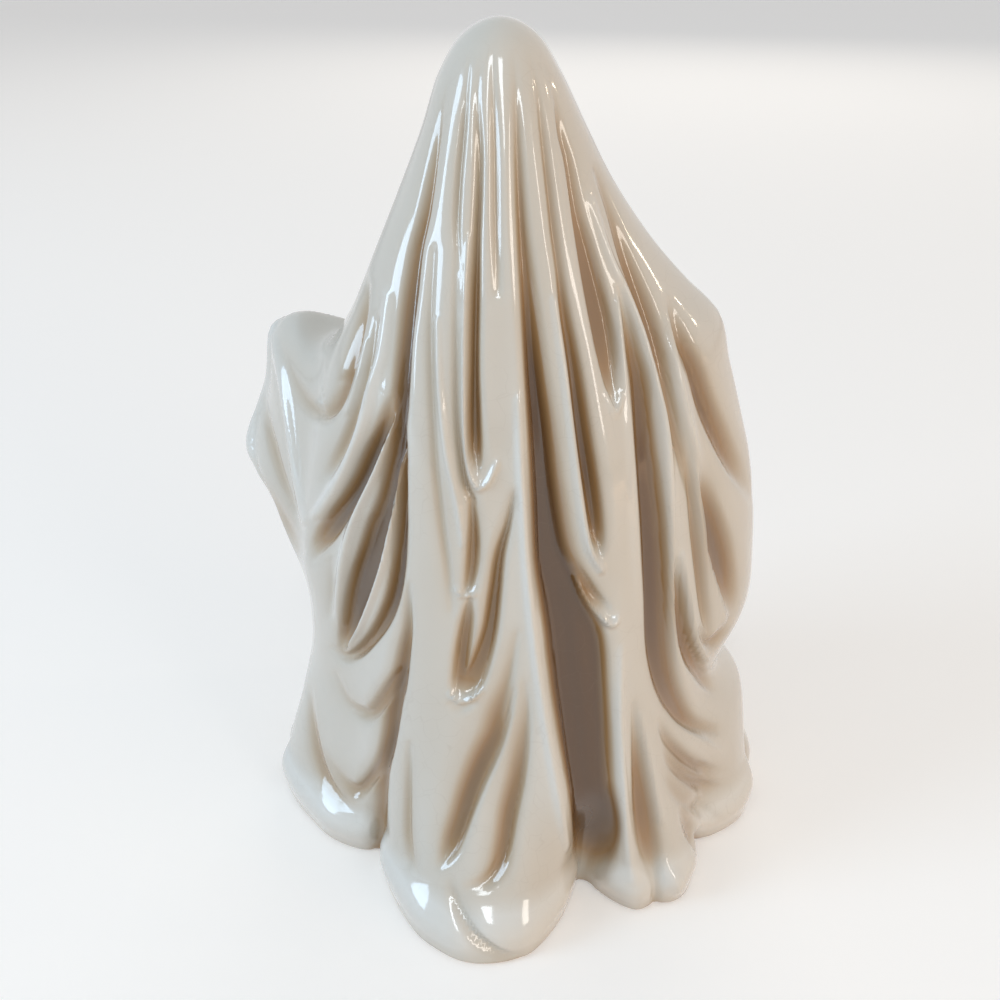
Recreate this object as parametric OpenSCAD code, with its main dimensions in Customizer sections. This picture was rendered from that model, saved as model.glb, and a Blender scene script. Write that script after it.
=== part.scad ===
// Draped ceramic ghost figure: a hollow slip-cast figure made of four castings that are luted together.
// Frame: millimetres, origin at the middle of the foot on the table, +Z up. The face looks along -Y,
// the back along +Y. Plan angles run from the back (+Y) towards the figure's left hand (+X).

/* [Figure] */
// Height from the table to the crown
figure_h = 280; // [200:1:360]
// Radius of the skirt where it stands on the table, before its lobes
skirt_r = 90; // [65:1:115]
// Wall of the castings under the smooth drape
wall = 4; // [3.5:0.1:6]
// How much thicker the wall is where folds are pressed into it
fold_stock = 2.8; // [2.6:0.1:4]
// How far the hem's outer edge is rounded in at the table
hem_round = 1.6; // [1:0.1:3]

/* [Folds] */
// Depth of the deepest folds down the back and sides
deep_fold = 4.6; // [2:0.1:5]
// Depth of the shallow pleats on the sleeve of the raised arm
flute = 2.2; // [1:0.1:3]
// Depth of the lesser valleys and flutes
pleat = 3; // [1:0.1:3.5]

/* [Face] */
// Width of each eye opening
eye_w = 10; // [6:0.1:10.5]
// Height of each eye opening
eye_h = 15; // [8:0.1:16]
// Width of the mouth opening
mouth_w = 13; // [8:0.1:14]
// Height of the mouth opening
mouth_h = 18; // [10:0.1:19]

/* [Base floor] */
// Thickness of the floor slab
floor_t = 5; // [4:0.1:8]
// Slip joint between the slab's edge and the skirt's inner wall
floor_gap = 0.3; // [0.2:0.05:0.6]
// Diameter of the pour hole, which also takes a clip-in light
pour_hole_d = 32; // [20:0.5:40]

/* [Mesh] */
// Columns of the drape mesh around the axis
columns = 72; // [72]
// Rows of the drape mesh from the crown to the hem
rows = 44; // [44]

/* [Hidden] */
full_turn = 360;

// Meridians of the drape: 17 stations from the crown to the hem, as shares of figure_h and skirt_r.
// Plain stations share one list of heights. The two arms have their own.
plain_height_shares = [1, 0.986, 0.95, 0.893, 0.829, 0.764, 0.703, 0.643, 0.58,
                       0.514, 0.446, 0.379, 0.307, 0.236, 0.157, 0.072, 0];
back_shares = [0, 0.11, 0.19, 0.255, 0.31, 0.36, 0.4, 0.445, 0.485,
               0.52, 0.56, 0.6, 0.645, 0.695, 0.765, 0.865, 0.955];
left_back_shares = [0, 0.11, 0.19, 0.255, 0.32, 0.38, 0.435, 0.49, 0.535,
                    0.565, 0.6, 0.62, 0.645, 0.665, 0.69, 0.7, 0.71];
left_side_shares = [0, 0.11, 0.19, 0.255, 0.34, 0.43, 0.51, 0.6, 0.665,
                    0.71, 0.755, 0.78, 0.765, 0.78, 0.845, 0.93, 0.98];
left_arm_shares = [0, 0.11, 0.18, 0.245, 0.32, 0.43, 0.565, 0.71, 0.885,
                   1, 1.05, 1.165, 0.955, 0.865, 0.845, 0.9, 0.965];
left_arm_height_shares = [1, 0.986, 0.95, 0.893, 0.821, 0.743, 0.682, 0.632, 0.65,
                          0.632, 0.571, 0.468, 0.386, 0.3, 0.196, 0.086, 0];
left_front_shares = [0, 0.11, 0.19, 0.265, 0.335, 0.4, 0.49, 0.58, 0.645,
                     0.68, 0.7, 0.72, 0.745, 0.78, 0.835, 0.91, 0.98];
front_shares = [0, 0.11, 0.2, 0.29, 0.345, 0.38, 0.42, 0.475, 0.53,
                0.575, 0.61, 0.645, 0.68, 0.72, 0.79, 0.89, 0.98];
right_front_shares = [0, 0.11, 0.19, 0.265, 0.345, 0.41, 0.49, 0.565, 0.63,
                      0.68, 0.71, 0.745, 0.78, 0.82, 0.89, 0.965, 1.02];
right_arm_shares = [0, 0.11, 0.19, 0.28, 0.38, 0.51, 0.655, 0.79, 0.845,
                    0.91, 0.98, 1.02, 1.02, 0.915, 1.035, 1.08, 1.11];
right_arm_height_shares = [1, 0.986, 0.95, 0.896, 0.839, 0.782, 0.732, 0.69, 0.636,
                           0.571, 0.493, 0.4, 0.314, 0.243, 0.171, 0.079, 0];
right_back_shares = [0, 0.11, 0.19, 0.255, 0.32, 0.39, 0.455, 0.52, 0.59,
                     0.645, 0.69, 0.735, 0.78, 0.82, 0.88, 0.935, 0.98];

// Each meridian: its plan angle, its heights and its radii.
meridians = [
    [0, plain_height_shares, back_shares],
    [55, plain_height_shares, left_back_shares],
    [88, plain_height_shares, left_side_shares],
    [118, left_arm_height_shares, left_arm_shares],
    [150, plain_height_shares, left_front_shares],
    [180, plain_height_shares, front_shares],
    [220, plain_height_shares, right_front_shares],
    [265, right_arm_height_shares, right_arm_shares],
    [310, plain_height_shares, right_back_shares],
    [full_turn, plain_height_shares, back_shares]
];

// The hem's lobes: plan angle and radius as a share of skirt_r.
hem_lobe_shares = [
    [0, 1.005], [5, 1.01], [9, 1.005], [13, 0.98], [19, 0.94], [27, 0.855], [33, 0.8], [38, 0.75],
    [42, 0.705], [46, 0.69], [51, 0.735], [57, 0.785], [62, 0.82], [68, 0.845], [73, 0.875],
    [81, 0.925], [87, 0.96], [94, 0.98], [118, 0.965], [138, 0.93], [150, 0.98],
    [163, 0.93], [180, 0.99], [196, 0.94], [210, 1], [226, 0.97], [245, 1.05], [265, 1.11],
    [273, 1.11], [280, 1.095], [286, 1.065], [292, 0.99], [297, 0.915], [305, 0.96], [311, 0.995],
    [315, 1.005], [318, 0.985], [321, 0.945], [324, 0.945], [327, 0.915], [330, 0.78], [332, 0.7],
    [336, 0.71], [342, 0.815], [349, 0.915], [354, 0.98], [full_turn, 1.005]
];
// Where the lobes begin to grow, as a share of the way down the meridian
lobe_start_share = 0.84;

// The main folds of the back are drawn on a picture of it, taken from behind and a little above the
// crown. Its camera is placed in shares of figure_h, and the skirt's radius in it is a share too, so
// the folds keep their places on the drape when its sizes change.
picture_pixels = 1000;
picture_lens_angle = 50;
picture_tilt_angle = 30;
picture_place_shares = [0, 1.146, 1.114];
picture_skirt_share = 0.3214;
// How far the drape has to face the camera, as a share, before the picture's folds count fully
picture_fade_share = 0.16;

// Each fold: depth, reach to its left and right and half its floor in pixels, share of its line over
// which it fades in and out, and its line from the top down in pixels.
back_fold_pixels = [
    // Long valleys that fall from the hood
    [deep_fold, [13, 26, 3], [0.6, 0.2], [[517, 110], [522, 226], [531, 365], [540, 500], [550, 575]]],
    [deep_fold, [12, 13, 21], [0.2, 0.15],
     [[547, 560], [574, 640], [583, 710], [594, 795], [598, 840], [582, 885]]],
    [deep_fold, [14, 14, 3], [0.5, 0.15], [[545, 140], [556, 235], [567, 315], [585, 440], [601, 556]]],
    [deep_fold, [14, 14, 5], [0.5, 0.2], [[560, 120], [579, 209], [597, 290], [609, 355], [615, 404]]],
    [deep_fold, [15, 14, 2], [0.5, 0.1], [[476, 110], [479, 190], [475, 300], [474, 420], [477, 478]]],
    [deep_fold, [15, 14, 4], [0.5, 0.05], [[441, 108], [423, 210], [408, 293], [399, 385], [397, 430]]],
    // Valleys behind the right arm
    [deep_fold, [14, 14, 9], [0.2, 0.25],
     [[621, 285], [636, 355], [647, 439], [657, 530], [661, 640], [679, 708], [716, 731]]],
    [pleat, [14, 14, 3], [0.3, 0.2], [[600, 180], [629, 261], [660, 353], [680, 439], [692, 505]]],
    [deep_fold, [15, 15, 5], [0.3, 0.2], [[670, 300], [686, 346], [709, 407], [737, 470], [750, 495]]],
    [deep_fold, [14, 15, 6], [0.3, 0.3], [[702, 462], [714, 520], [724, 578], [728, 620]]],
    [deep_fold, [16, 15, 3], [0.3, 0.3], [[660, 730], [680, 762], [714, 790]]],
    [deep_fold, [14, 15, 4], [0.3, 0.1], [[634, 705], [641, 774], [649, 845], [655, 903]]],
    // Swags behind the left arm, and the edge of the back panel below them
    [deep_fold, [15, 14, 5], [0.15, 0.3], [[396, 385], [376, 445], [360, 487], [342, 521], [319, 548]]],
    [deep_fold, [14, 14, 9], [0.1, 0.2],
     [[396, 425], [389, 469], [380, 520], [370, 557], [357, 609], [345, 645]]],
    [deep_fold, [15, 14, 4], [0.3, 0.1], [[408, 586], [404, 650], [394, 702], [381, 775], [378, 850]]],
    [deep_fold, [15, 15, 3], [0.1, 0.4], [[396, 676], [376, 708], [356, 710], [336, 675]]],
    [deep_fold, [15, 15, 3], [0.2, 0.4], [[390, 728], [377, 768], [357, 792], [324, 752]]],
    [deep_fold, [15, 15, 3], [0.2, 0.3], [[366, 313], [348, 380], [327, 424], [305, 392], [290, 355]]],
    // Grooves of the back panel
    [pleat, [14, 15, 3], [0.2, 0.15], [[471, 500], [471, 560], [462, 640], [456, 692]]],
    [deep_fold, [14, 14, 5], [0.3, 0.2], [[514, 495], [500, 557], [490, 633], [472, 684], [464, 700]]],
    [deep_fold, [20, 15, 4], [0.35, 0.2], [[517, 635], [501, 715], [484, 765], [461, 823], [444, 862]]],
    [deep_fold, [15, 15, 3], [0.35, 0.3], [[526, 685], [522, 750], [510, 812], [499, 868], [469, 887]]]
];

// Folds of the front and sides, on the unrolled drape. Each: depth, reach to both sides and half its
// floor in degrees, share of its line over which it fades in and out, and its line as plan angles
// and shares of the way down.
front_fold_shares = [
    // Swags across the chest
    [pleat, [9, 9, 0], [0.3, 0.3], [[228, 0.375], [214, 0.415], [196, 0.437], [176, 0.43], [158, 0.4]]],
    [deep_fold, [9, 9, 0], [0.3, 0.3], [[236, 0.4], [222, 0.462], [200, 0.495], [178, 0.487], [146, 0.415]]],
    [deep_fold, [10, 9, 0], [0.3, 0.3], [[242, 0.44], [228, 0.525], [206, 0.563], [182, 0.555], [144, 0.46]]],
    [deep_fold, [10, 9, 0], [0.3, 0.3], [[236, 0.57], [222, 0.618], [202, 0.636], [184, 0.622], [170, 0.6]]],
    // Flutes down to the gaps between the lobes
    [pleat, [9, 9, 0], [0.3, 0.05], [[112, 0.78], [108, 0.86], [106, 1]]],
    [deep_fold, [9, 10, 0], [0.3, 0.05], [[132, 0.55], [127, 0.68], [130, 0.82], [138, 1]]],
    [deep_fold, [9, 9, 0], [0.3, 0.05], [[150, 0.545], [149, 0.66], [152, 0.8], [163, 1]]],
    [pleat, [9, 9, 0], [0.3, 0.2], [[168, 0.63], [170, 0.74], [176, 0.86], [181, 1]]],
    [deep_fold, [9, 9, 0], [0.3, 0.05], [[188, 0.67], [190, 0.78], [194, 0.9], [196, 1]]],
    [pleat, [9, 9, 0], [0.3, 0.2], [[206, 0.68], [207, 0.78], [210, 0.9], [211, 1]]],
    [deep_fold, [9, 9, 0], [0.3, 0.05], [[226, 0.64], [222, 0.76], [224, 0.88], [226, 1]]],
    [pleat, [9, 9, 0], [0.3, 0.05], [[240, 0.56], [237, 0.7], [239, 0.85], [244, 1]]],
    [pleat, [10, 10, 0], [0.3, 0.05], [[258, 0.8], [256, 0.88], [258, 1]]],
    [pleat, [9, 9, 0], [0.3, 0.05], [[276, 0.79], [277, 0.88], [278, 1]]],
    [pleat, [8, 8, 0], [0.3, 0.05], [[96, 0.74], [93, 0.84], [91, 1]]],
    // Pleats round the left arm and drops from the right elbow
    [pleat, [9, 9, 0], [0.4, 0.4], [[141, 0.42], [136, 0.5], [138, 0.58], [141, 0.64]]],
    [flute, [9, 9, 0], [0.4, 0.4], [[128, 0.44], [124, 0.53], [121, 0.61], [116, 0.69]]],
    [flute, [9, 9, 0], [0.4, 0.4], [[112, 0.46], [110, 0.56], [106, 0.65], [101, 0.72]]],
    [pleat, [8, 8, 0], [0.4, 0.4], [[266, 0.34], [262, 0.46], [257, 0.6], [254, 0.72]]],
    [pleat, [8, 8, 0], [0.4, 0.4], [[276, 0.36], [275, 0.48], [270, 0.62], [266, 0.72]]]
];
// Length of the whole way down on the unrolled drape, where a degree of turn is 1
way_down_degrees = 287;
// Plan angle at which the unrolled drape is cut, behind the left arm
unroll_cut_angle = 60;
// How firmly the deeper of two crossing folds wins
join_power = 3;
// Nowhere is the drape pressed in deeper than its deepest fold
deepest_fold = max(deep_fold, flute, pleat);

// Patches of the mesh that are castings of their own: where each begins and ends, as shares of the
// turn and of the rows.
left_arm_patch_shares = [0.264, 0.417, 0.386, 0.773];
right_arm_patch_shares = [0.653, 0.806, 0.386, 0.773];

// Openings of the face: centre as shares of the turn and of the rows. Two eyes and a mouth.
face_hole_shares = [[0.444, 0.227], [0.556, 0.227], [0.5, 0.318]];
// Columns and rows that are left out on each side of a centre
half_hole_cells = [2, 1];
// How far round an opening the mesh is drawn in, as a share of the cells left out
face_reach_share = 2.2;

function patch_cells(shares) = [for (n = [0 : 3]) round(shares[n] * (n < 2 ? columns : rows))];
left_arm_patch = patch_cells(left_arm_patch_shares);
right_arm_patch = patch_cells(right_arm_patch_shares);
face_holes = [for (n = [0 : 2]) concat(
    [round(face_hole_shares[n][0] * columns), round(face_hole_shares[n][1] * rows)], half_hole_cells,
    n < 2 ? [eye_w, eye_h] : [mouth_w, mouth_h])];

function limited(x) = max(0, min(1, x));
function eased(x) = let (u = limited(x)) u * u * (3 - 2 * u);

// Value of a smooth curve through equally spaced stations, at a share of its length. The crown's
// profile is mirrored over the axis, so that the dome is round there.
function along(v, share) =
    let (last = len(v) - 1, u = limited(share) * last, i = min(floor(u), last - 1), f = u - i,
         b = v[i], c = v[i + 1], a = i > 0 ? v[i - 1] : [-c[0], c[1]],
         d = i < last - 1 ? v[i + 2] : 2 * c - b)
    b + 0.5 * f * ((c - a) + f * ((2 * a - 5 * b + 4 * c - d) + f * (3 * b - a - 3 * c + d)));

// Stations of one meridian as radius and height
profiles = [for (m = meridians)
    [for (s = [0 : len(m[1]) - 1]) [m[2][s] * skirt_r, m[1][s] * figure_h]]];

// Radius and height of the smooth drape at a plan angle and a share of the way down
function drape_rz(angle, share) =
    let (k = max([for (m = [0 : len(meridians) - 2]) if (meridians[m][0] <= angle) m]),
         w = eased((angle - meridians[k][0]) / (meridians[k + 1][0] - meridians[k][0])),
         rz = (1 - w) * along(profiles[k], share) + w * along(profiles[k + 1], share),
         foot = (1 - w) * profiles[k][len(profiles[k]) - 1] + w * profiles[k + 1][len(profiles[k]) - 1],
         lobe = lookup(angle, hem_lobe_shares) * skirt_r - foot[0])
    [rz[0] + lobe * eased((share - lobe_start_share) / (1 - lobe_start_share)), rz[1]];

function drape_point(angle, share) =
    let (a = (angle + full_turn) % full_turn, rz = drape_rz(a, share))
    [rz[0] * sin(a), rz[0] * cos(a), rz[1]];

// Share of the way down at a row. The last row is the foot, and the row before it lies just above.
function row_share(row) = row == rows ? 1 : row * (1 - hem_round / figure_h) / (rows - 1);

// A row and column near a face opening are drawn in to its oval, so the edge of the cells left out
// is the opening's outline.
function cell_size(hole) =
    let (here = drape_point(hole[0] * full_turn / columns, row_share(hole[1])),
         beside = drape_point((hole[0] + 1) * full_turn / columns, row_share(hole[1])),
         below = drape_point(hole[0] * full_turn / columns, row_share(hole[1] + 1)))
    [norm(beside - here), norm(below - here)];
cell_sizes = [for (h = face_holes) cell_size(h)];
function drawn_in(column, row) =
    let (shifts = [for (n = [0 : len(face_holes) - 1])
        let (h = face_holes[n], dc = column - h[0], dr = row - h[1],
             square = max(abs(dc) / h[2], abs(dr) / h[3]),
             round_off = square / max(norm([dc / h[2], dr / h[3]]), 0.001),
             pull = square < 1 ? 1 : eased((face_reach_share - square) / (face_reach_share - 1)),
             to = [dc * round_off * h[4] / 2 / cell_sizes[n][0] / h[2],
                   dr * round_off * h[5] / 2 / cell_sizes[n][1] / h[3]])
        square < face_reach_share ? pull * (to - [dc, dr]) : [0, 0]])
    [for (axis = [0, 1]) [column, row][axis] + shifts[0][axis] + shifts[1][axis] + shifts[2][axis]];

// The mesh's grid of places: a plan angle and a share for each row and column
function grid_place(row, column) =
    let (p = row > 1 && row < rows - 1 ? drawn_in(column, row) : [column, row], i = floor(p[1]),
         share = row_share(i) + (p[1] - i) * (row_share(min(i + 1, rows)) - row_share(i)))
    [p[0] * full_turn / columns, share];
places = [for (i = [0 : rows]) [for (j = [0 : columns - 1]) grid_place(i, j)]];
smooth = [for (i = [0 : rows]) [for (j = [0 : columns - 1]) drape_point(places[i][j][0], places[i][j][1])]];

function outward(i, j) =
    i == 0 ? [0, 0, 1] :
    i == rows ? let (p = smooth[i][j]) [p[0], p[1], 0] / norm([p[0], p[1]]) :
    let (down = smooth[i + 1][j] - smooth[i - 1][j],
         across = smooth[i][(j + 1) % columns] - smooth[i][(j + columns - 1) % columns],
         n = cross(down, across))
    n / norm(n);
normals = [for (i = [0 : rows]) [for (j = [0 : columns - 1]) -outward(i, j) * (i == 0 || i == rows ? -1 : 1)]];

// Where a place of the drape lies from the picture's camera, in shares of the height
picture_look = [0, -cos(picture_tilt_angle), -sin(picture_tilt_angle)];
picture_rise = [0, -sin(picture_tilt_angle), cos(picture_tilt_angle)];
picture_focal_pixels = picture_pixels / 2 / tan(picture_lens_angle / 2);
function from_camera(p) =
    [p[0] * picture_skirt_share / skirt_r, p[1] * picture_skirt_share / skirt_r, p[2] / figure_h]
    - picture_place_shares;
function picture_place(away) =
    let (enlarged = picture_focal_pixels / (away * picture_look))
    [picture_pixels / 2 - enlarged * away[0], picture_pixels / 2 - enlarged * (away * picture_rise)];

// Depth of one fold at a place of its flat view, from the nearest stretch of its line
function fold_at(fold, place) =
    let (line = fold[3], last = len(line) - 1,
         parts = [for (k = [0 : last - 1]) let (run = line[k + 1] - line[k])
             limited((place - line[k]) * run / (run * run))],
         gaps = [for (k = [0 : last - 1]) norm(place - line[k] - parts[k] * (line[k + 1] - line[k]))],
         near = min(gaps))
    near > max(fold[1][0], fold[1][1]) + fold[1][2] ? 0 :
    let (k = [for (n = [0 : last - 1]) if (gaps[n] == near) n][0],
         run = line[k + 1] - line[k], beside = place - line[k],
         reach = run[0] * beside[1] - run[1] * beside[0] > 0 ? fold[1][0] : fold[1][1],
         off = min(1, max(near - fold[1][2], 0) / reach),
         way = (k + parts[k]) / last)
    fold[0] * pow(cos(full_turn / 4 * off), 2) * eased(way / fold[2][0]) * eased((1 - way) / fold[2][1]);

function joined_folds(folds, place) =
    let (powers = [for (f = folds) pow(fold_at(f, place), join_power)])
    pow(powers * [for (p = powers) 1], 1 / join_power);

front_folds = [for (f = front_fold_shares)
    [f[0], f[1], f[2], [for (p = f[3]) [p[0], p[1] * way_down_degrees]]]];

// The picture's folds press the drape where it faces the camera, and the front's folds elsewhere
function drawn_depth(i, j) =
    let (away = from_camera(smooth[i][j]),
         seen = eased(-(away * normals[i][j]) / norm(away) / picture_fade_share),
         angle = (places[i][j][0] + full_turn) % full_turn,
         unrolled = [angle < unroll_cut_angle ? angle + full_turn : angle, places[i][j][1] * way_down_degrees])
    min(deepest_fold, (seen > 0 ? seen * joined_folds(back_fold_pixels, picture_place(away)) : 0)
                      + (seen < 1 ? (1 - seen) * joined_folds(front_folds, unrolled) : 0));
drawn_depths = [for (i = [0 : rows]) [for (j = [0 : columns - 1]) drawn_depth(i, j)]];

// A fold that runs aslant would step from one column to the next, so each depth is evened with its
// neighbours'
function evened(row, j) = (row[(j + columns - 1) % columns] + 2 * row[j] + row[(j + 1) % columns]) / 4;
function fold_depth(i, j) =
    (evened(drawn_depths[max(i - 1, 0)], j) + 2 * evened(drawn_depths[i], j)
     + evened(drawn_depths[min(i + 1, rows)], j)) / 4;

// Outer skin, with its folds, and inner skin, which is smooth
function outer_point(i, j) =
    let (depth = fold_depth(i, j))
    smooth[i][j] - normals[i][j] * (i == rows ? depth + hem_round : depth);
function inner_point(i, j) =
    let (p = smooth[i][j] - normals[i][j] * (wall + fold_stock))
    [p[0], p[1], i == rows ? 0 : max(p[2], smooth[i][j][2] / 2)];

ring_points = rows * columns + 1;
outer_points = concat([smooth[0][0]], [for (i = [1 : rows]) for (j = [0 : columns - 1]) outer_point(i, j)]);
inner_points = concat([smooth[0][0] - [0, 0, wall + fold_stock]],
                      [for (i = [1 : rows]) for (j = [0 : columns - 1]) inner_point(i, j)]);
function outer_id(i, j) = i == 0 ? 0 : 1 + (i - 1) * columns + (j + columns) % columns;
function inner_id(i, j) = ring_points + outer_id(i, j);

// Which casting a cell belongs to: 0 the body, 1 the left arm, 2 the right arm, -1 left open
function in_patch(i, j, patch) = j >= patch[0] && j < patch[1] && i >= patch[2] && i < patch[3];
function in_hole(i, j, h) = abs(j + 0.5 - h[0]) < h[2] && abs(i + 0.5 - h[1]) < h[3];
function cell_owner(i, j) =
    i < 0 || i >= rows ? -2 :
    in_patch(i, j, left_arm_patch) ? 1 :
    in_patch(i, j, right_arm_patch) ? 2 :
    len([for (h = face_holes) if (in_hole(i, j, h)) 1]) > 0 ? -1 : 0;

// A casting is the outer and inner skin over its cells, closed by a wall wherever they end.
module casting(owner) {
    skin = [for (i = [0 : rows - 1]) for (j = [0 : columns - 1]) if (cell_owner(i, j) == owner) each concat(
        i == 0 ? [[outer_id(0, j), outer_id(1, j + 1), outer_id(1, j)],
                  [inner_id(0, j), inner_id(1, j), inner_id(1, j + 1)]]
               : [[outer_id(i, j), outer_id(i, j + 1), outer_id(i + 1, j + 1), outer_id(i + 1, j)],
                  [inner_id(i, j), inner_id(i + 1, j), inner_id(i + 1, j + 1), inner_id(i, j + 1)]],
        i > 0 && cell_owner(i - 1, j) != owner
            ? [[outer_id(i, j), inner_id(i, j), inner_id(i, j + 1), outer_id(i, j + 1)]] : [],
        cell_owner(i + 1, j) != owner
            ? [[outer_id(i + 1, j + 1), inner_id(i + 1, j + 1), inner_id(i + 1, j), outer_id(i + 1, j)]] : [],
        cell_owner(i, (j + columns - 1) % columns) != owner
            ? [[outer_id(i + 1, j), inner_id(i + 1, j), inner_id(i, j), outer_id(i, j)]] : [],
        cell_owner(i, (j + 1) % columns) != owner
            ? [[outer_id(i, j + 1), inner_id(i, j + 1), inner_id(i + 1, j + 1), outer_id(i + 1, j + 1)]] : [])];
    polyhedron(points = concat(outer_points, inner_points), faces = skin, convexity = 10);
}

// Hollow body: hood, back, front and skirt, open below and at the face
module drape_body() {
    color("ivory")
        casting(0);
}

// Sleeve of cloth over the raised left arm, cast apart and luted on
module left_arm_drape() {
    color("linen")
        casting(1);
}

// Sleeve of cloth over the right arm, cast apart and luted on
module right_arm_drape() {
    color("oldlace")
        casting(2);
}

// Place on the skirt's inner wall at a column and a height
function skirt_inner_at(j, level) =
    let (wall_points = [for (i = [rows : -1 : rows - 8]) inner_point(i, j)])
    [for (axis = [0, 1]) lookup(level, [for (p = wall_points) [p[2], p[axis]]])];
// The slab's edge keeps floor_gap inside the wall at the narrower of its two faces
floor_contact = [for (j = [0 : columns - 1])
    let (low = skirt_inner_at(j, 0), high = skirt_inner_at(j, floor_t))
    norm(low) < norm(high) ? low : high];
function floor_corner(j) =
    let (run = floor_contact[(j + 1) % columns] - floor_contact[(j + columns - 1) % columns])
    floor_contact[j] - floor_gap * [-run[1], run[0]] / norm(run);

// Floor slab luted inside the skirt, flush with the foot, with the pour hole
module base_floor() {
    color("antiquewhite")
        linear_extrude(floor_t)
            difference() {
                polygon([for (j = [0 : columns - 1]) floor_corner(j)]);
                circle(d = pour_hole_d, $fn = 96);
            }
}

drape_body();
left_arm_drape();
right_arm_drape();
base_floor();
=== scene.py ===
# %% [markdown]
# # A glazed ceramic ghost, modelled as a potter makes it
#
# The real object is slip-cast: liquid clay is poured into a plaster mould, leaves a skin a few
# millimetres thick, and is emptied again. The cloth is only a shape pressed into that skin. So the
# lesson builds one smooth draped body first, presses the folds into it one by one, gives it a wall,
# and only then talks about glaze and light.

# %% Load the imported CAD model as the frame
import math

import bmesh
import bpy
import numpy as np
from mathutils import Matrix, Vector


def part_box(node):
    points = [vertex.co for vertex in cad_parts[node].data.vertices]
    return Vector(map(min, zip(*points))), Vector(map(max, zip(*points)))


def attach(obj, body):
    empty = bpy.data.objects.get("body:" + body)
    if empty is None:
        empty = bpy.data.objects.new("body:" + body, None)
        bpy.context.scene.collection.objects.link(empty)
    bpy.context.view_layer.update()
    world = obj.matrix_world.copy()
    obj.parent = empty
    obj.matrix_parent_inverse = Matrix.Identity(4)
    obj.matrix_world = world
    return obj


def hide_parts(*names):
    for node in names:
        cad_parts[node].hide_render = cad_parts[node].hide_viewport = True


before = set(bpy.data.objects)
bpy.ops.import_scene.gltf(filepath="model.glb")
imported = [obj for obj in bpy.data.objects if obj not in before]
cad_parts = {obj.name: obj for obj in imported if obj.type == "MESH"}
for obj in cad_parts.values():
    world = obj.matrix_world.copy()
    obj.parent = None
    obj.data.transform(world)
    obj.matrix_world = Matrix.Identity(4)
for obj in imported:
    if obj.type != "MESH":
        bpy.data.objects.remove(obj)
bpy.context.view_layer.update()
body_low, body_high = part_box("drape_body")

# %% [markdown]
# ## Units and driving sizes
#
# Blender works in metres and the potter in millimetres. All shape work below is in millimetres,
# and one value turns it into metres at the very end. The height comes from the CAD body, and the
# skirt and the wall repeat the values that the CAD source is driven by.

# %% Sizes in millimetres
METRES_PER_MM = 0.001
FIGURE_H = body_high.z / METRES_PER_MM
SKIRT_R = 90.0
WALL = 4.0
FOLD_STOCK = 2.8
HEM_ROUND = 1.6
EYE_W, EYE_H = 10.0, 15.0
MOUTH_W, MOUTH_H = 13.0, 18.0
print("figure height", round(FIGURE_H, 1), "mm")

# %% [markdown]
# ## The smooth draped body
#
# A draped figure is close to a lathe shape, but each side falls differently. One way would be to
# sculpt it. Here nine meridians, each with 17 stations from the crown to the hem, are blended round
# the axis, because the same few numbers also drive the CAD solids. Angles run from the back (+Y)
# towards the figure's left hand (+X).

# %% Meridians, as shares of the height and of the skirt's radius
PLAIN_HEIGHT_SHARES = [1, 0.986, 0.95, 0.893, 0.829, 0.764, 0.703, 0.643, 0.58,
                       0.514, 0.446, 0.379, 0.307, 0.236, 0.157, 0.072, 0]
BACK_SHARES = [0, 0.11, 0.19, 0.255, 0.31, 0.36, 0.4, 0.445, 0.485,
               0.52, 0.56, 0.6, 0.645, 0.695, 0.765, 0.865, 0.955]
LEFT_BACK_SHARES = [0, 0.11, 0.19, 0.255, 0.32, 0.38, 0.435, 0.49, 0.535,
                    0.565, 0.6, 0.62, 0.645, 0.665, 0.69, 0.7, 0.71]
LEFT_SIDE_SHARES = [0, 0.11, 0.19, 0.255, 0.34, 0.43, 0.51, 0.6, 0.665,
                    0.71, 0.755, 0.78, 0.765, 0.78, 0.845, 0.93, 0.98]
LEFT_ARM_SHARES = [0, 0.11, 0.18, 0.245, 0.32, 0.43, 0.565, 0.71, 0.885,
                   1, 1.05, 1.165, 0.955, 0.865, 0.845, 0.9, 0.965]
LEFT_ARM_HEIGHT_SHARES = [1, 0.986, 0.95, 0.893, 0.821, 0.743, 0.682, 0.632, 0.65,
                          0.632, 0.571, 0.468, 0.386, 0.3, 0.196, 0.086, 0]
LEFT_FRONT_SHARES = [0, 0.11, 0.19, 0.265, 0.335, 0.4, 0.49, 0.58, 0.645,
                     0.68, 0.7, 0.72, 0.745, 0.78, 0.835, 0.91, 0.98]
FRONT_SHARES = [0, 0.11, 0.2, 0.29, 0.345, 0.38, 0.42, 0.475, 0.53,
                0.575, 0.61, 0.645, 0.68, 0.72, 0.79, 0.89, 0.98]
RIGHT_FRONT_SHARES = [0, 0.11, 0.19, 0.265, 0.345, 0.41, 0.49, 0.565, 0.63,
                      0.68, 0.71, 0.745, 0.78, 0.82, 0.89, 0.965, 1.02]
RIGHT_ARM_SHARES = [0, 0.11, 0.19, 0.28, 0.38, 0.51, 0.655, 0.79, 0.845,
                    0.91, 0.98, 1.02, 1.02, 0.915, 1.035, 1.08, 1.11]
RIGHT_ARM_HEIGHT_SHARES = [1, 0.986, 0.95, 0.896, 0.839, 0.782, 0.732, 0.69, 0.636,
                           0.571, 0.493, 0.4, 0.314, 0.243, 0.171, 0.079, 0]
RIGHT_BACK_SHARES = [0, 0.11, 0.19, 0.255, 0.32, 0.39, 0.455, 0.52, 0.59,
                     0.645, 0.69, 0.735, 0.78, 0.82, 0.88, 0.935, 0.98]
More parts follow.
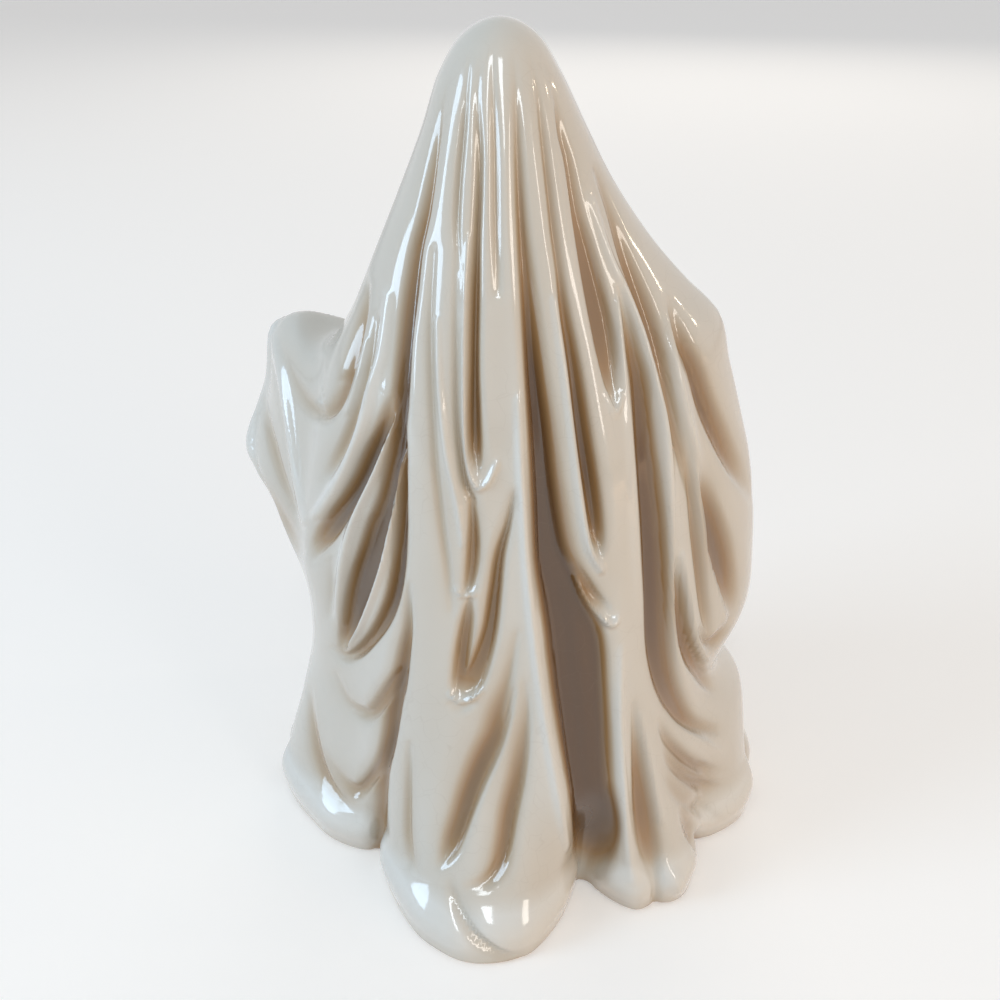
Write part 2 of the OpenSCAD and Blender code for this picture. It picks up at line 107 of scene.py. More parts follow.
MERIDIANS = {
    0: (PLAIN_HEIGHT_SHARES, BACK_SHARES),
    55: (PLAIN_HEIGHT_SHARES, LEFT_BACK_SHARES),
    88: (PLAIN_HEIGHT_SHARES, LEFT_SIDE_SHARES),
    118: (LEFT_ARM_HEIGHT_SHARES, LEFT_ARM_SHARES),
    150: (PLAIN_HEIGHT_SHARES, LEFT_FRONT_SHARES),
    180: (PLAIN_HEIGHT_SHARES, FRONT_SHARES),
    220: (PLAIN_HEIGHT_SHARES, RIGHT_FRONT_SHARES),
    265: (RIGHT_ARM_HEIGHT_SHARES, RIGHT_ARM_SHARES),
    310: (PLAIN_HEIGHT_SHARES, RIGHT_BACK_SHARES),
    360: (PLAIN_HEIGHT_SHARES, BACK_SHARES),
}
MERIDIAN_ANGLES = np.array(sorted(MERIDIANS), float)
STATIONS = np.array([
    [[r * SKIRT_R, h * FIGURE_H] for h, r in zip(*MERIDIANS[int(angle)])] for angle in MERIDIAN_ANGLES])
print(len(MERIDIANS) - 1, "meridians of", STATIONS.shape[1], "stations")

# %% [markdown]
# ## The hem's lobes
#
# The cloth lands on the floor in rounded lobes with gaps between them. They grow out of the last
# sixth of each meridian, so they are a second, simpler list: how far the hem reaches at each angle.

# %% Hem lobes, plan angle and share of the skirt's radius
LOBE_START = 0.84
HEM_LOBE_SHARES = [
    (0, 1.005), (5, 1.01), (9, 1.005), (13, 0.98), (19, 0.94), (27, 0.855), (33, 0.8), (38, 0.75),
    (42, 0.705), (46, 0.69), (51, 0.735), (57, 0.785), (62, 0.82), (68, 0.845), (73, 0.875),
    (81, 0.925), (87, 0.96), (94, 0.98), (118, 0.965), (138, 0.93), (150, 0.98),
    (163, 0.93), (180, 0.99), (196, 0.94), (210, 1), (226, 0.97), (245, 1.05), (265, 1.11),
    (273, 1.11), (280, 1.095), (286, 1.065), (292, 0.99), (297, 0.915), (305, 0.96), (311, 0.995),
    (315, 1.005), (318, 0.985), (321, 0.945), (324, 0.945), (327, 0.915), (330, 0.78), (332, 0.7),
    (336, 0.71), (342, 0.815), (349, 0.915), (354, 0.98), (360, 1.005)]
hem_reach = [share * SKIRT_R for _, share in HEM_LOBE_SHARES]
print("hem reaches from", round(min(hem_reach), 1), "to", round(max(hem_reach), 1), "mm")

# %% [markdown]
# ## Blending the meridians
#
# Wet cloth has no corners, so the drape must not show where one meridian hands over to the next.
# Easing alone leaves flat bands at the meridians, and straight blending leaves creases that a glossy
# glaze shows at once. So the blend is half eased, and then evened over a few degrees. The price is
# that this skin and the CAD solids agree to about a millimetre and not exactly.

# %% Place of the smooth drape
MERIDIAN_EASE = 0.45
MERIDIAN_EVENING = np.linspace(-3.5, 3.5, 9)
HEM_EVENING = (-2, -1, 0, 1, 2)


def eased(x):
    """Rises smoothly from 0 to 1."""
    u = np.clip(x, 0, 1)
    return u * u * (3 - 2 * u)


def along(values, share):
    """A smooth curve through equally spaced stations. Over the crown the profile is mirrored."""
    last = len(values) - 1
    u = np.clip(share, 0, 1) * last
    i = np.minimum(u.astype(int), last - 1)
    f = (u - i)[..., None]
    b, c = values[i], values[i + 1]
    a = np.where((i > 0)[..., None], values[np.maximum(i - 1, 0)], c * [-1, 1])
    d = np.where((i < last - 1)[..., None], values[np.minimum(i + 2, last)], 2 * c - b)
    return b + 0.5 * f * ((c - a) + f * ((2 * a - 5 * b + 4 * c - d) + f * (3 * b - a - 3 * c + d)))


def profile(angle, share):
    """Radius and height between the two meridians beside each angle, and the radius at the foot."""
    angle = np.mod(angle, 360)
    which = np.clip(np.searchsorted(MERIDIAN_ANGLES, angle, side="right") - 1, 0, len(MERIDIAN_ANGLES) - 2)
    part = (angle - MERIDIAN_ANGLES[which]) / (MERIDIAN_ANGLES[which + 1] - MERIDIAN_ANGLES[which])
    weight = MERIDIAN_EASE * eased(part) + (1 - MERIDIAN_EASE) * part
    rz = np.zeros(angle.shape + (2,))
    for m in range(len(MERIDIAN_ANGLES) - 1):
        mine = which == m
        w = weight[mine][:, None]
        rz[mine] = (1 - w) * along(STATIONS[m], share[mine]) + w * along(STATIONS[m + 1], share[mine])
    foot = (1 - weight) * STATIONS[which, -1, 0] + weight * STATIONS[which + 1, -1, 0]
    return rz, foot


def drape_point(angle, share):
    """Place of the smooth drape, in millimetres, at a plan angle in degrees and a share of the way down."""
    beside = [profile(angle + turn, share) for turn in MERIDIAN_EVENING]
    rz = sum(rz for rz, _ in beside) / len(beside)
    foot = sum(foot for _, foot in beside) / len(beside)
    hem = sum(np.interp(np.mod(angle + turn, 360), *zip(*HEM_LOBE_SHARES)) for turn in HEM_EVENING)
    hem *= SKIRT_R / len(HEM_EVENING)
    radius = rz[..., 0] + (hem - foot) * eased((share - LOBE_START) / (1 - LOBE_START))
    turn = np.radians(angle)
    return np.stack([radius * np.sin(turn), radius * np.cos(turn), rz[..., 1]], -1)


print("back of the hem at", drape_point(np.array([0.0]), np.array([1.0]))[0].round(1), "mm")

# %% [markdown]
# ## The photograph's camera
#
# The figure was photographed from behind with a phone, from a little above its crown, so a lens of
# 50 degrees tipped 30 degrees down fits it. The same camera does two jobs here: it frames the
# render, and it says where a fold seen at a pixel of the photograph lies on the smooth body.

# %% Camera
LENS_ANGLE = 50.0
CAMERA_TILT = 30.0
CAMERA_PLACE = np.array([0.0, 321.0, 312.0])
PHOTO_SIZE = 1000
PHOTO_MIDDLE = PHOTO_SIZE / 2
FOCAL_PIXELS = PHOTO_MIDDLE / math.tan(math.radians(LENS_ANGLE / 2))
tilt = math.radians(CAMERA_TILT)
LOOK = np.array([0.0, -math.cos(tilt), -math.sin(tilt)])
RISE = np.array([0.0, -math.sin(tilt), math.cos(tilt)])
SIDE = np.array([-1.0, 0.0, 0.0])


def photo_pixel(points):
    """Pixel of the photograph at which each point would be seen."""
    away = points - CAMERA_PLACE
    depth = away @ LOOK
    return (PHOTO_MIDDLE + FOCAL_PIXELS * (away @ SIDE) / depth,
            PHOTO_MIDDLE - FOCAL_PIXELS * (away @ RISE) / depth)


camera_data = bpy.data.cameras.new("photo_camera")
camera_data.sensor_fit = "HORIZONTAL"
camera_data.angle = math.radians(LENS_ANGLE)
camera = bpy.data.objects.new("photo_camera", camera_data)
bpy.context.scene.collection.objects.link(camera)
camera.location = Vector(CAMERA_PLACE * METRES_PER_MM)
camera.rotation_euler = (math.radians(90 - CAMERA_TILT), 0, math.radians(180))
bpy.context.scene.camera = camera
print("camera", [round(c, 3) for c in camera.location])

# %% [markdown]
# ## Folds of the back, read from the photograph
#
# Each fold is a line drawn down the photograph: pixel x, pixel y, depth in millimetres, and the
# reach of its flanks in pixels on the image's left and right. A last value, where there is one, is
# half the width of a flat floor. A short flank beside a long one gives the steep edge that cloth
# has where one layer lies over another. A negative depth is a raised roll. A fold starts and ends
# shallow, because cloth lets a fold run out, and an abrupt end would gleam like a dent.

# %% Folds of the back panel
BACK_FOLDS = {
    "central_valley": [
        (514, 58, 0.1, 8, 8), (516, 88, 0.5, 8, 8), (519, 160, 2, 9, 10), (522, 226, 2.8, 9, 13),
        (526, 290, 3.4, 7, 17, 1), (531, 365, 4.8, 6, 21, 2), (536, 430, 5.6, 6, 26, 3),
        (540, 500, 6.2, 6, 31, 4), (547, 560, 6.4, 7, 30, 8), (562, 605, 5.8, 8, 24, 16),
        (576, 645, 5.4, 9, 11, 24), (581, 690, 5.4, 9, 10, 23), (587, 740, 5.4, 10, 10, 20),
        (594, 795, 5.2, 10, 10, 16), (598, 835, 4.6, 11, 10, 14), (591, 862, 3, 12, 12, 8),
        (584, 880, 1.4, 12, 12, 4)],
    "central_fall": [
        (541, 560, 2, 6, 16, 2), (554, 605, 4.6, 6, 28, 4), (561, 645, 5.2, 7, 30, 4),
        (566, 690, 5.2, 7, 30, 4), (573, 740, 5.2, 7, 28, 4), (581, 795, 4.8, 8, 24, 4),
        (587, 835, 3.2, 9, 18, 3), (586, 862, 1, 9, 12, 2)],
    "central_edge": [
        (519, 400, -0.6, 8, 5), (522, 470, -1.2, 9, 5), (528, 560, -1.4, 9, 6), (533, 617, -1.5, 9, 6),
        (540, 675, -1.5, 9, 6), (549, 733, -1.4, 9, 6), (559, 791, -1.2, 9, 6), (568, 845, -0.8, 8, 6)],
    "second_valley": [
        (530, 58, 0.1, 6, 6), (538, 90, 0.6, 6, 6), (545, 140, 1.6, 7, 7), (551, 190, 2, 7, 7),
        (556, 235, 2.2, 7, 8), (561, 270, 2.4, 7, 8), (567, 315, 3.2, 7, 8, 1), (576, 368, 4, 7, 8, 2),
        (585, 440, 4.6, 7, 9, 3), (593, 495, 4.6, 7, 9, 3), (598, 535, 3.8, 7, 8, 2),
        (601, 556, 1.2, 6, 6)],
    "second_ridge": [
        (556, 300, -0.6, 8, 5), (565, 366, -1, 8, 6), (575, 440, -1.4, 8, 6), (582, 500, -1.6, 8, 6),
        (590, 548, -2.2, 6, 6), (602, 570, -1.8, 6, 6)],
    "right_lip": [
        (579, 582, -1, 5, 5), (588, 602, -2.6, 5, 5), (600, 617, -3, 6, 6), (611, 624, -2.6, 6, 5),
        (618, 619, -1, 5, 5)],
    "under_right_lip": [
        (567, 556, 1.4, 7, 6, 2), (578, 572, 2.4, 7, 6, 3), (588, 586, 3.2, 7, 5, 3),
        (598, 599, 3.2, 7, 5, 2), (606, 607, 2, 6, 5, 1), (611, 612, 0.6, 5, 5)],
    "third_valley": [
        (545, 62, 0.1, 6, 6), (556, 98, 0.6, 6, 6), (564, 135, 1.8, 7, 7), (571, 160, 2.2, 8, 8),
        (579, 209, 2.6, 7, 8, 1), (588, 250, 3.2, 6, 7, 4), (597, 290, 3.6, 6, 7, 6),
        (604, 325, 3.6, 5, 6, 7), (609, 355, 3.2, 5, 5, 6), (613, 385, 2.2, 5, 5, 3),
        (615, 404, 0.8, 5, 5)],
    "third_lip": [(606, 392, -0.6, 5, 5), (615, 412, -1, 6, 5), (622, 396, -0.6, 5, 5)],
    "deep_right_valley": [
        (621, 285, 0.8, 6, 6), (630, 325, 2.4, 7, 7, 1), (636, 355, 3.4, 8, 8, 2), (642, 384, 4, 9, 9, 3),
        (648, 439, 4.4, 10, 10, 4), (653, 490, 4.6, 10, 10, 5), (657, 530, 4.6, 10, 10, 6),
        (660, 588, 4.6, 9, 9, 7), (661, 640, 4.4, 8, 8, 7), (667, 680, 4, 8, 8, 6),
        (679, 708, 3.6, 8, 8, 5), (693, 724, 3, 7, 7, 3), (716, 731, 1.6, 6, 6, 1)],
    "dividing_ridge": [
        (618, 300, -0.6, 5, 5), (622, 345, -1, 5, 6), (627, 390, -1, 7, 7), (632, 440, -0.9, 9, 8),
        (636, 500, -0.9, 10, 8), (639, 560, -0.8, 10, 8), (643, 610, -0.5, 9, 8), (646, 650, -0.1, 8, 7)],
    "right_ridge": [
        (591, 200, -0.5, 6, 6), (609, 254, -1, 6, 6), (626, 292, -1.4, 7, 7), (647, 345, -1.6, 7, 7),
        (661, 399, -1.8, 7, 7), (667, 439, -1.8, 8, 7), (671, 500, -1.6, 8, 7), (673, 560, -1.4, 7, 6),
        (675, 615, -1.2, 7, 6), (679, 655, -0.8, 6, 6), (688, 690, -0.4, 6, 6), (700, 712, -0.1, 6, 6)],
    "fourth_valley": [
        (596, 170, 0.6, 6, 6), (611, 208, 1.6, 7, 7), (629, 261, 2.6, 7, 8, 2), (647, 307, 3.2, 7, 8, 2),
        (660, 353, 3.4, 6, 7, 3), (671, 399, 3.2, 6, 6, 2), (680, 439, 2.8, 6, 6, 2),
        (688, 480, 1.6, 6, 6, 1), (692, 505, 0.6, 5, 5)],
    "fourth_ridge": [
        (668, 318, -0.4, 5, 5), (676, 360, -1, 6, 6), (686, 410, -1.4, 7, 7), (699, 455, -1.3, 7, 7),
        (713, 492, -0.9, 8, 7), (728, 522, -0.5, 8, 7), (740, 548, -0.1, 7, 7)],
    "elbow_valley": [
        (670, 300, 0.6, 5, 5), (677, 322, 2, 6, 7, 1), (686, 346, 3.2, 6, 8, 2), (697, 370, 3.8, 6, 8, 3),
        (709, 407, 3.8, 7, 8, 4), (723, 440, 3.3, 7, 8, 4), (736, 468, 2.3, 7, 8, 3),
        (746, 488, 1, 7, 7, 1), (752, 502, 0.2, 6, 6)],
    "narrow_pleat": [
        (686, 430, 0.3, 5, 5), (689, 448, 1.2, 5, 5), (693, 486, 2.6, 5, 5, 1), (697, 530, 3.2, 5, 6, 1),
        (702, 573, 3.4, 5, 6, 1), (707, 615, 2.6, 5, 6, 1), (712, 640, 1, 5, 5)],
    "pleat_ridge": [
        (697, 465, -0.4, 4, 4), (703, 510, -1.2, 5, 5), (713, 560, -1.5, 5, 5), (722, 605, -1.2, 5, 5),
        (728, 634, -0.2, 5, 5)],
    "broad_elbow_hollow": [
        (694, 428, 0.2, 5, 5), (698, 446, 0.6, 5, 6), (703, 466, 1.4, 5, 7, 1), (708, 490, 2.8, 5, 8, 3),
        (714, 520, 3.8, 5, 9, 5), (720, 550, 4, 5, 9, 7), (726, 578, 3.6, 5, 8, 6),
        (730, 598, 2.4, 5, 7, 4), (732, 614, 0.8, 5, 6, 1)],
    "pleat_under_elbow": [
        (677, 560, 1.2, 5, 5), (681, 590, 3.4, 5, 6, 2), (685, 630, 4, 5, 6, 4), (693, 657, 3.8, 5, 6, 4),
        (703, 678, 2.6, 5, 6, 2), (712, 690, 1, 5, 5)],
    "inner_ridge": [
        (683, 555, -0.8, 5, 5), (690, 600, -1.4, 5, 5), (697, 640, -1.4, 5, 5), (706, 660, -1, 5, 5)],
    "below_right_arm": [
        (700, 630, 1, 5, 5), (711, 645, 2.6, 5, 6, 1), (722, 636, 2.2, 5, 6, 1), (730, 620, 1, 5, 5)],
    "lower_right_hook_1": [
        (660, 722, 0.8, 6, 6), (670, 741, 2.4, 7, 6, 1), (686, 758, 3.2, 8, 6, 1),
        (703, 768, 2.8, 8, 6, 1), (719, 771, 0.8, 7, 6)],
    "lower_right_hook_2": [
        (664, 748, 0.6, 6, 6), (672, 763, 1.8, 7, 6, 1), (688, 779, 2.8, 7, 6, 1),
        (705, 786, 2.5, 7, 6, 1), (720, 787, 0.7, 6, 6)],
    "lower_right_hook_3": [
        (664, 770, 0.4, 7, 7), (672, 786, 1.3, 8, 8, 1), (685, 800, 1.7, 8, 8, 2),
        (701, 809, 1.3, 8, 8, 1), (715, 815, 0.4, 7, 7)],
    "hook_ridge": [
        (668, 712, -0.4, 4, 4), (676, 724, -1.2, 5, 5), (698, 738, -1.4, 6, 5), (714, 748, -0.7, 6, 5),
        (726, 753, -0.1, 5, 5)],
    "skirt_ridge": [
        (622, 650, -0.6, 6, 6), (620, 716, -1.6, 6, 6), (623, 782, -2, 6, 6), (628, 845, -1.6, 7, 7),
        (633, 875, -1, 8, 8)],
    "skirt_valley": [
        (634, 705, 0.8, 4, 5), (637, 735, 2, 5, 6, 1), (641, 774, 3.2, 6, 8, 3), (645, 815, 3.4, 7, 9, 5),
        (649, 845, 2.6, 8, 9, 5), (654, 875, 1.6, 8, 8, 2), (655, 903, 1.6, 7, 7)],
    "skirt_right_ridge": [(641, 716, -0.6, 4, 4), (652, 770, -1.2, 5, 5), (662, 822, -1, 6, 6)],
    "right_lobe_notch": [(682, 812, 1, 7, 7), (691, 830, 2.4, 7, 7, 1), (696, 848, 2.8, 7, 7, 1)],
    "right_lobe_knob": [(664, 864, -0.6, 10, 10), (673, 878, -1.6, 11, 11), (676, 888, -1.2, 10, 10)],
    "left_panel_edge": [
        (450, 78, 0.1, 6, 6), (441, 110, 0.6, 6, 6), (432, 160, 2, 8, 7), (423, 210, 3, 8, 7, 1),
        (414, 250, 3.6, 8, 6, 2), (408, 293, 4.2, 8, 6, 3), (403, 340, 4.6, 8, 5, 3),
        (399, 385, 5, 7, 5, 4), (397, 415, 4.8, 7, 5, 4), (394, 445, 3, 6, 4, 4), (391, 475, 1, 6, 4, 3)],
    "left_panel_edge_low": [
        (408, 586, 0.8, 5, 4), (407, 626, 2.4, 6, 4, 1), (404, 650, 3.4, 8, 4, 2), (398, 685, 4, 9, 5, 3),
        (394, 702, 4, 9, 5, 3), (387, 742, 4, 8, 5, 3), (381, 775, 3.6, 8, 5, 2),
        (380, 810, 3.2, 8, 5, 1), (378, 850, 3, 8, 6, 1)],
    "left_panel_groove": [
        (409, 745, 0.8, 5, 5), (407, 790, 1.8, 6, 6), (407, 835, 1.8, 6, 6), (411, 862, 1, 6, 6)],
    "soft_groove": [
        (433, 250, 0.6, 7, 7), (429, 316, 1.2, 8, 7), (430, 383, 1.4, 8, 6), (435, 466, 1.4, 8, 6),
        (441, 520, 1.4, 8, 6), (448, 570, 1.2, 8, 6), (452, 610, 0.6, 7, 6)],
    "soft_ridge": [
        (437, 320, -0.5, 5, 6), (439, 383, -1, 5, 6), (446, 449, -1.2, 6, 7), (457, 499, -1.2, 6, 6),
        (464, 545, -0.8, 6, 5)],
    "hood_left_groove": [
        (470, 58, 0.1, 5, 5), (466, 90, 0.5, 5, 5), (462, 130, 1.4, 6, 6), (458, 176, 1.6, 7, 6),
        (456, 226, 1.4, 7, 6), (459, 270, 0.5, 7, 6)],
    "pocket_side_groove": [
        (456, 250, 0.5, 6, 6), (455, 333, 1.2, 6, 6), (456, 416, 1.8, 6, 6), (461, 465, 2.2, 6, 5),
        (467, 490, 2.4, 6, 5), (474, 502, 1.6, 6, 5)],
    "pocket_ridge": [
        (468, 240, -0.5, 5, 4), (465, 300, -1, 5, 4), (464, 380, -1.4, 5, 4), (465, 440, -1.4, 5, 4),
        (470, 474, -1.4, 5, 5), (478, 487, -1.6, 5, 5), (488, 482, -1.4, 5, 5), (496, 464, -0.8, 6, 5)],
    "pocket_groove": [
        (480, 64, 0.1, 7, 6), (477, 98, 0.6, 7, 6), (479, 150, 1.8, 9, 6), (479, 190, 2.2, 10, 5),
        (477, 240, 2.6, 9, 5), (475, 300, 3.2, 8, 5, 1), (474, 365, 3.6, 7, 5, 1),
        (474, 420, 3.8, 6, 6, 2), (475, 452, 3, 6, 7, 2), (477, 468, 1.2, 6, 6, 1)],
    "hood_middle_groove": [
        (493, 52, 0.1, 6, 6), (493, 84, 0.5, 6, 6), (495, 150, 1.4, 8, 8), (496, 226, 1.5, 8, 8),
        (498, 290, 0.8, 8, 8)],
    "below_pocket": [
        (471, 500, 1.6, 5, 7), (472, 530, 2.8, 4, 9, 1), (471, 560, 3, 4, 10, 2),
        (468, 585, 2.4, 4, 9, 1), (464, 596, 1, 4, 6)],
    "pocket_lip": [(455, 590, -0.8, 4, 4), (464, 595, -1.6, 4, 4), (474, 595, -0.8, 4, 4)],
    "below_pocket_2": [
        (470, 596, 1, 4, 6), (466, 620, 2.6, 4, 9, 2), (461, 650, 3.2, 4, 10, 3), (458, 680, 3, 4, 9, 3),
        (456, 692, 1.4, 4, 7, 1)],
    "long_groove": [
        (514, 495, 1, 5, 5), (508, 525, 2.4, 6, 5), (500, 557, 3.2, 8, 5, 1), (495, 598, 3.6, 8, 5, 2),
        (490, 633, 3.6, 8, 5, 3), (481, 664, 3.4, 8, 5, 5), (472, 684, 3, 8, 6, 6),
        (464, 694, 1.6, 7, 5, 4)],
    "pocket_lip_2": [
        (450, 694, -0.8, 4, 4), (458, 700, -1.8, 4, 4), (470, 699, -1.8, 4, 4), (480, 692, -1, 4, 4)],
    "below_lip_2": [(450, 704, 0.6, 5, 5), (462, 709, 1.4, 6, 6), (475, 704, 0.8, 5, 5)],
    "low_groove": [
        (517, 635, 0.6, 8, 6), (509, 683, 1.8, 16, 6), (501, 715, 2.8, 22, 6, 1),
        (496, 740, 3.4, 22, 6, 2), (484, 765, 3.7, 20, 6, 3), (471, 794, 3.7, 17, 6, 3),
        (461, 823, 3.5, 15, 6, 3), (451, 848, 3, 12, 6, 3), (444, 862, 1.4, 8, 5, 1)],
    "low_groove_line": [
        (513, 690, 1.2, 5, 4), (506, 725, 2.8, 6, 4), (496, 755, 3.4, 6, 4), (482, 785, 3.4, 6, 4),
        (469, 815, 3.2, 6, 4), (458, 842, 2.4, 6, 4), (449, 858, 1, 5, 4)],
    "hook_groove": [
        (526, 685, 0.6, 9, 6), (527, 715, 1.4, 13, 6, 1), (522, 750, 2.2, 14, 7, 2),
        (517, 782, 2.8, 15, 8, 2), (510, 812, 3.1, 14, 8, 2), (505, 845, 3, 13, 8, 2),
        (499, 868, 2.8, 11, 8, 2), (486, 883, 2.2, 9, 7, 1), (469, 887, 0.8, 6, 5)],
    "hook_groove_line": [
        (528, 700, 0.8, 5, 4), (527, 740, 2.2, 6, 4), (522, 780, 2.8, 6, 4), (514, 820, 3, 6, 4),
        (508, 852, 2.8, 6, 4), (500, 870, 1.6, 6, 4)],
    "near_lobe_crease": [
        (450, 887, 0.8, 7, 7), (459, 908, 1.8, 9, 9), (474, 932, 2.2, 10, 10), (490, 947, 2.2, 10, 10),
        (505, 954, 1.4, 8, 8), (520, 956, 0.6, 6, 6)],
}

# %% [markdown]
# ## The swags under the raised arm
#
# The raised arm lifts the cloth, which hangs from it in deep swags one behind the other, with thin
# raised edges between them. They are drawn in the same way. The widest hollow takes two lines, one
# for its flat floor and one for its steep side.

# %% Folds of the left sleeve and the swags behind it
LEFT_FOLDS = {
    "swag_valley_1": [
        (396, 385, 1, 6, 6), (388, 405, 2.4, 6, 5, 2), (380, 428, 4, 6, 5, 3), (374, 445, 4.8, 6, 5, 4),
        (367, 463, 5, 7, 5, 4), (358, 483, 5, 7, 5, 4), (347, 502, 4.8, 8, 5, 4),
        (335, 519, 4.4, 8, 6, 5), (326, 533, 3.8, 8, 7, 5), (318, 546, 2.4, 8, 7, 3),
        (313, 558, 0.8, 7, 7)],
    "swag_ridge_2": [
        (388, 430, -0.8, 4, 4), (382, 452, -1.6, 4, 4), (375, 473, -1.9, 5, 5), (366, 493, -2, 6, 6),
        (357, 514, -2, 7, 7), (350, 534, -2, 7, 7), (344, 557, -1.8, 7, 7), (340, 582, -1.5, 6, 6),
        (338, 608, -1.2, 6, 6), (339, 632, -0.4, 5, 5)],
    "swag_valley_3": [
        (397, 395, 0.8, 6, 5, 2), (396, 415, 3, 6, 4, 3), (394, 434, 4.6, 6, 4, 4),
        (392, 451, 5, 6, 4, 4), (389, 469, 5, 6, 4, 5), (386, 487, 5, 6, 4, 6), (382, 505, 5.1, 6, 4, 7),
        (378, 520, 5.2, 6, 4, 8), (374, 529, 5.2, 6, 4, 8), (366, 557, 5.2, 6, 4, 8),
        (359, 580, 5, 6, 4, 8), (352, 609, 4.6, 6, 4, 7), (345, 632, 4, 5, 4, 4), (342, 646, 2, 5, 4, 2)],
    "swag_deep_3": [
        (394, 470, 1.5, 9, 4), (391, 500, 3.8, 10, 4), (385, 530, 4.4, 11, 4), (377, 560, 4.6, 11, 4),
        (368, 588, 4.6, 10, 4), (358, 613, 4.2, 9, 4), (348, 634, 2.6, 6, 4)],
    "swag_ridge_3": [
        (399, 462, -0.4, 3, 3), (396, 485, -1.2, 3, 3), (394, 506, -1.6, 3, 3), (389, 534, -1.8, 4, 4),
        (384, 560, -1.8, 4, 4), (377, 584, -1.8, 4, 4), (368, 610, -1.8, 4, 4), (359, 629, -1.6, 4, 4),
        (348, 644, -1, 4, 4)],
    "swag_valley_4": [
        (400, 420, 3, 4, 4, 1), (401, 450, 4, 4, 4, 1), (401, 475, 4.4, 4, 4, 1),
        (400, 506, 4.6, 4, 4, 2), (398, 534, 4.8, 4, 5, 3), (395, 569, 4.8, 4, 5, 4),
        (390, 598, 4.8, 5, 5, 4), (381, 621, 4.4, 5, 5, 4), (369, 639, 4, 5, 5, 3),
        (355, 654, 3.4, 5, 5, 2), (344, 657, 2, 5, 5, 1), (333, 648, 0.8, 5, 5)],
    "wide_swag_ridge": [
        (387, 295, -0.6, 8, 8), (382, 351, -1.4, 9, 8), (371, 390, -2, 11, 9), (362, 428, -2.2, 12, 9),
        (350, 460, -2.2, 13, 9), (337, 487, -2, 13, 9), (319, 514, -1.4, 11, 8)],
    "sleeve_v": [
        (367, 285, 0.8, 9, 5), (363, 312, 1.8, 11, 5), (357, 340, 2.4, 12, 5), (348, 375, 2.8, 13, 5),
        (341, 397, 2.8, 14, 5), (333, 411, 2.6, 14, 5), (324, 416, 2.2, 14, 6), (314, 411, 1.6, 13, 7),
        (303, 397, 1.1, 11, 8), (290, 370, 0.6, 9, 8), (280, 345, 0.2, 8, 8)],
    "sleeve_groove": [
        (376, 318, 0.8, 5, 5), (369, 360, 1.6, 6, 5), (361, 395, 2, 7, 5), (352, 424, 2.2, 8, 5, 1),
        (343, 447, 2.2, 9, 6, 1), (333, 466, 1.6, 9, 7, 1), (324, 480, 0.6, 8, 7)],
    "sleeve_narrow_ridge": [(366, 340, -0.5, 4, 4), (357, 380, -0.8, 4, 4), (347, 412, -0.8, 5, 5)],
    "sleeve_edge_ridge": [
        (271, 330, -0.6, 6, 7), (280, 370, -1.2, 6, 7), (287, 405, -1.8, 6, 7), (292, 440, -1.8, 6, 7),
        (297, 480, -1.4, 6, 7), (304, 522, -0.8, 6, 6)],
    "free_corner_hollow": [
        (263, 400, 0.6, 8, 6), (270, 435, 1.4, 9, 6), (281, 475, 1.4, 9, 6), (294, 510, 0.8, 8, 6)],
    "below_free_corner": [
        (262, 480, 0.4, 10, 12), (272, 502, 1.3, 12, 12), (285, 526, 1.6, 12, 12),
        (296, 550, 0.8, 12, 12)],
    "left_small_hollow": [(330, 560, 0.6, 7, 6), (330, 590, 1.2, 7, 6), (329, 615, 0.6, 6, 6)],
    "lower_swag_2": [
        (396, 676, 3, 6, 6, 2), (387, 692, 3.2, 7, 6, 3), (376, 708, 3, 7, 7, 3),
        (368, 715, 2.6, 8, 7, 2), (356, 710, 1.8, 8, 7), (345, 698, 1, 8, 7), (336, 675, 0.5, 7, 7)],
    "lower_swag_3": [
        (390, 728, 2, 6, 5, 1), (385, 748, 3, 6, 5, 2), (377, 768, 3.2, 7, 5, 2), (367, 784, 3, 8, 6, 2),
        (357, 792, 2.6, 8, 7, 2), (345, 784, 1.6, 9, 8), (333, 768, 1, 9, 8), (324, 752, 0.5, 8, 8)],
    "left_hem_groove": [
        (309, 690, 0.6, 6, 8), (311, 725, 1.6, 7, 8), (317, 758, 2.2, 8, 8), (328, 785, 2.2, 8, 8),
        (343, 803, 1.4, 8, 8), (357, 812, 0.5, 8, 8)],
}
print(len(BACK_FOLDS), "folds on the back,", len(LEFT_FOLDS), "by the left sleeve")

# %% [markdown]
# ## Folds of the sides nobody photographed
#
# The front and the sides aren't in the photograph, so they are a designer's choice. They continue
# what the back does: soft U-shaped swags across the chest between the raised hand and the elbow,
# and long flutes from there to the gaps between the hem's lobes. They are drawn on the unrolled
# drape: plan angle, share of the way down, depth, and reach to both sides in millimetres. The front
# edge of the left sleeve is a raised roll here, because it makes the free corner of the outline.

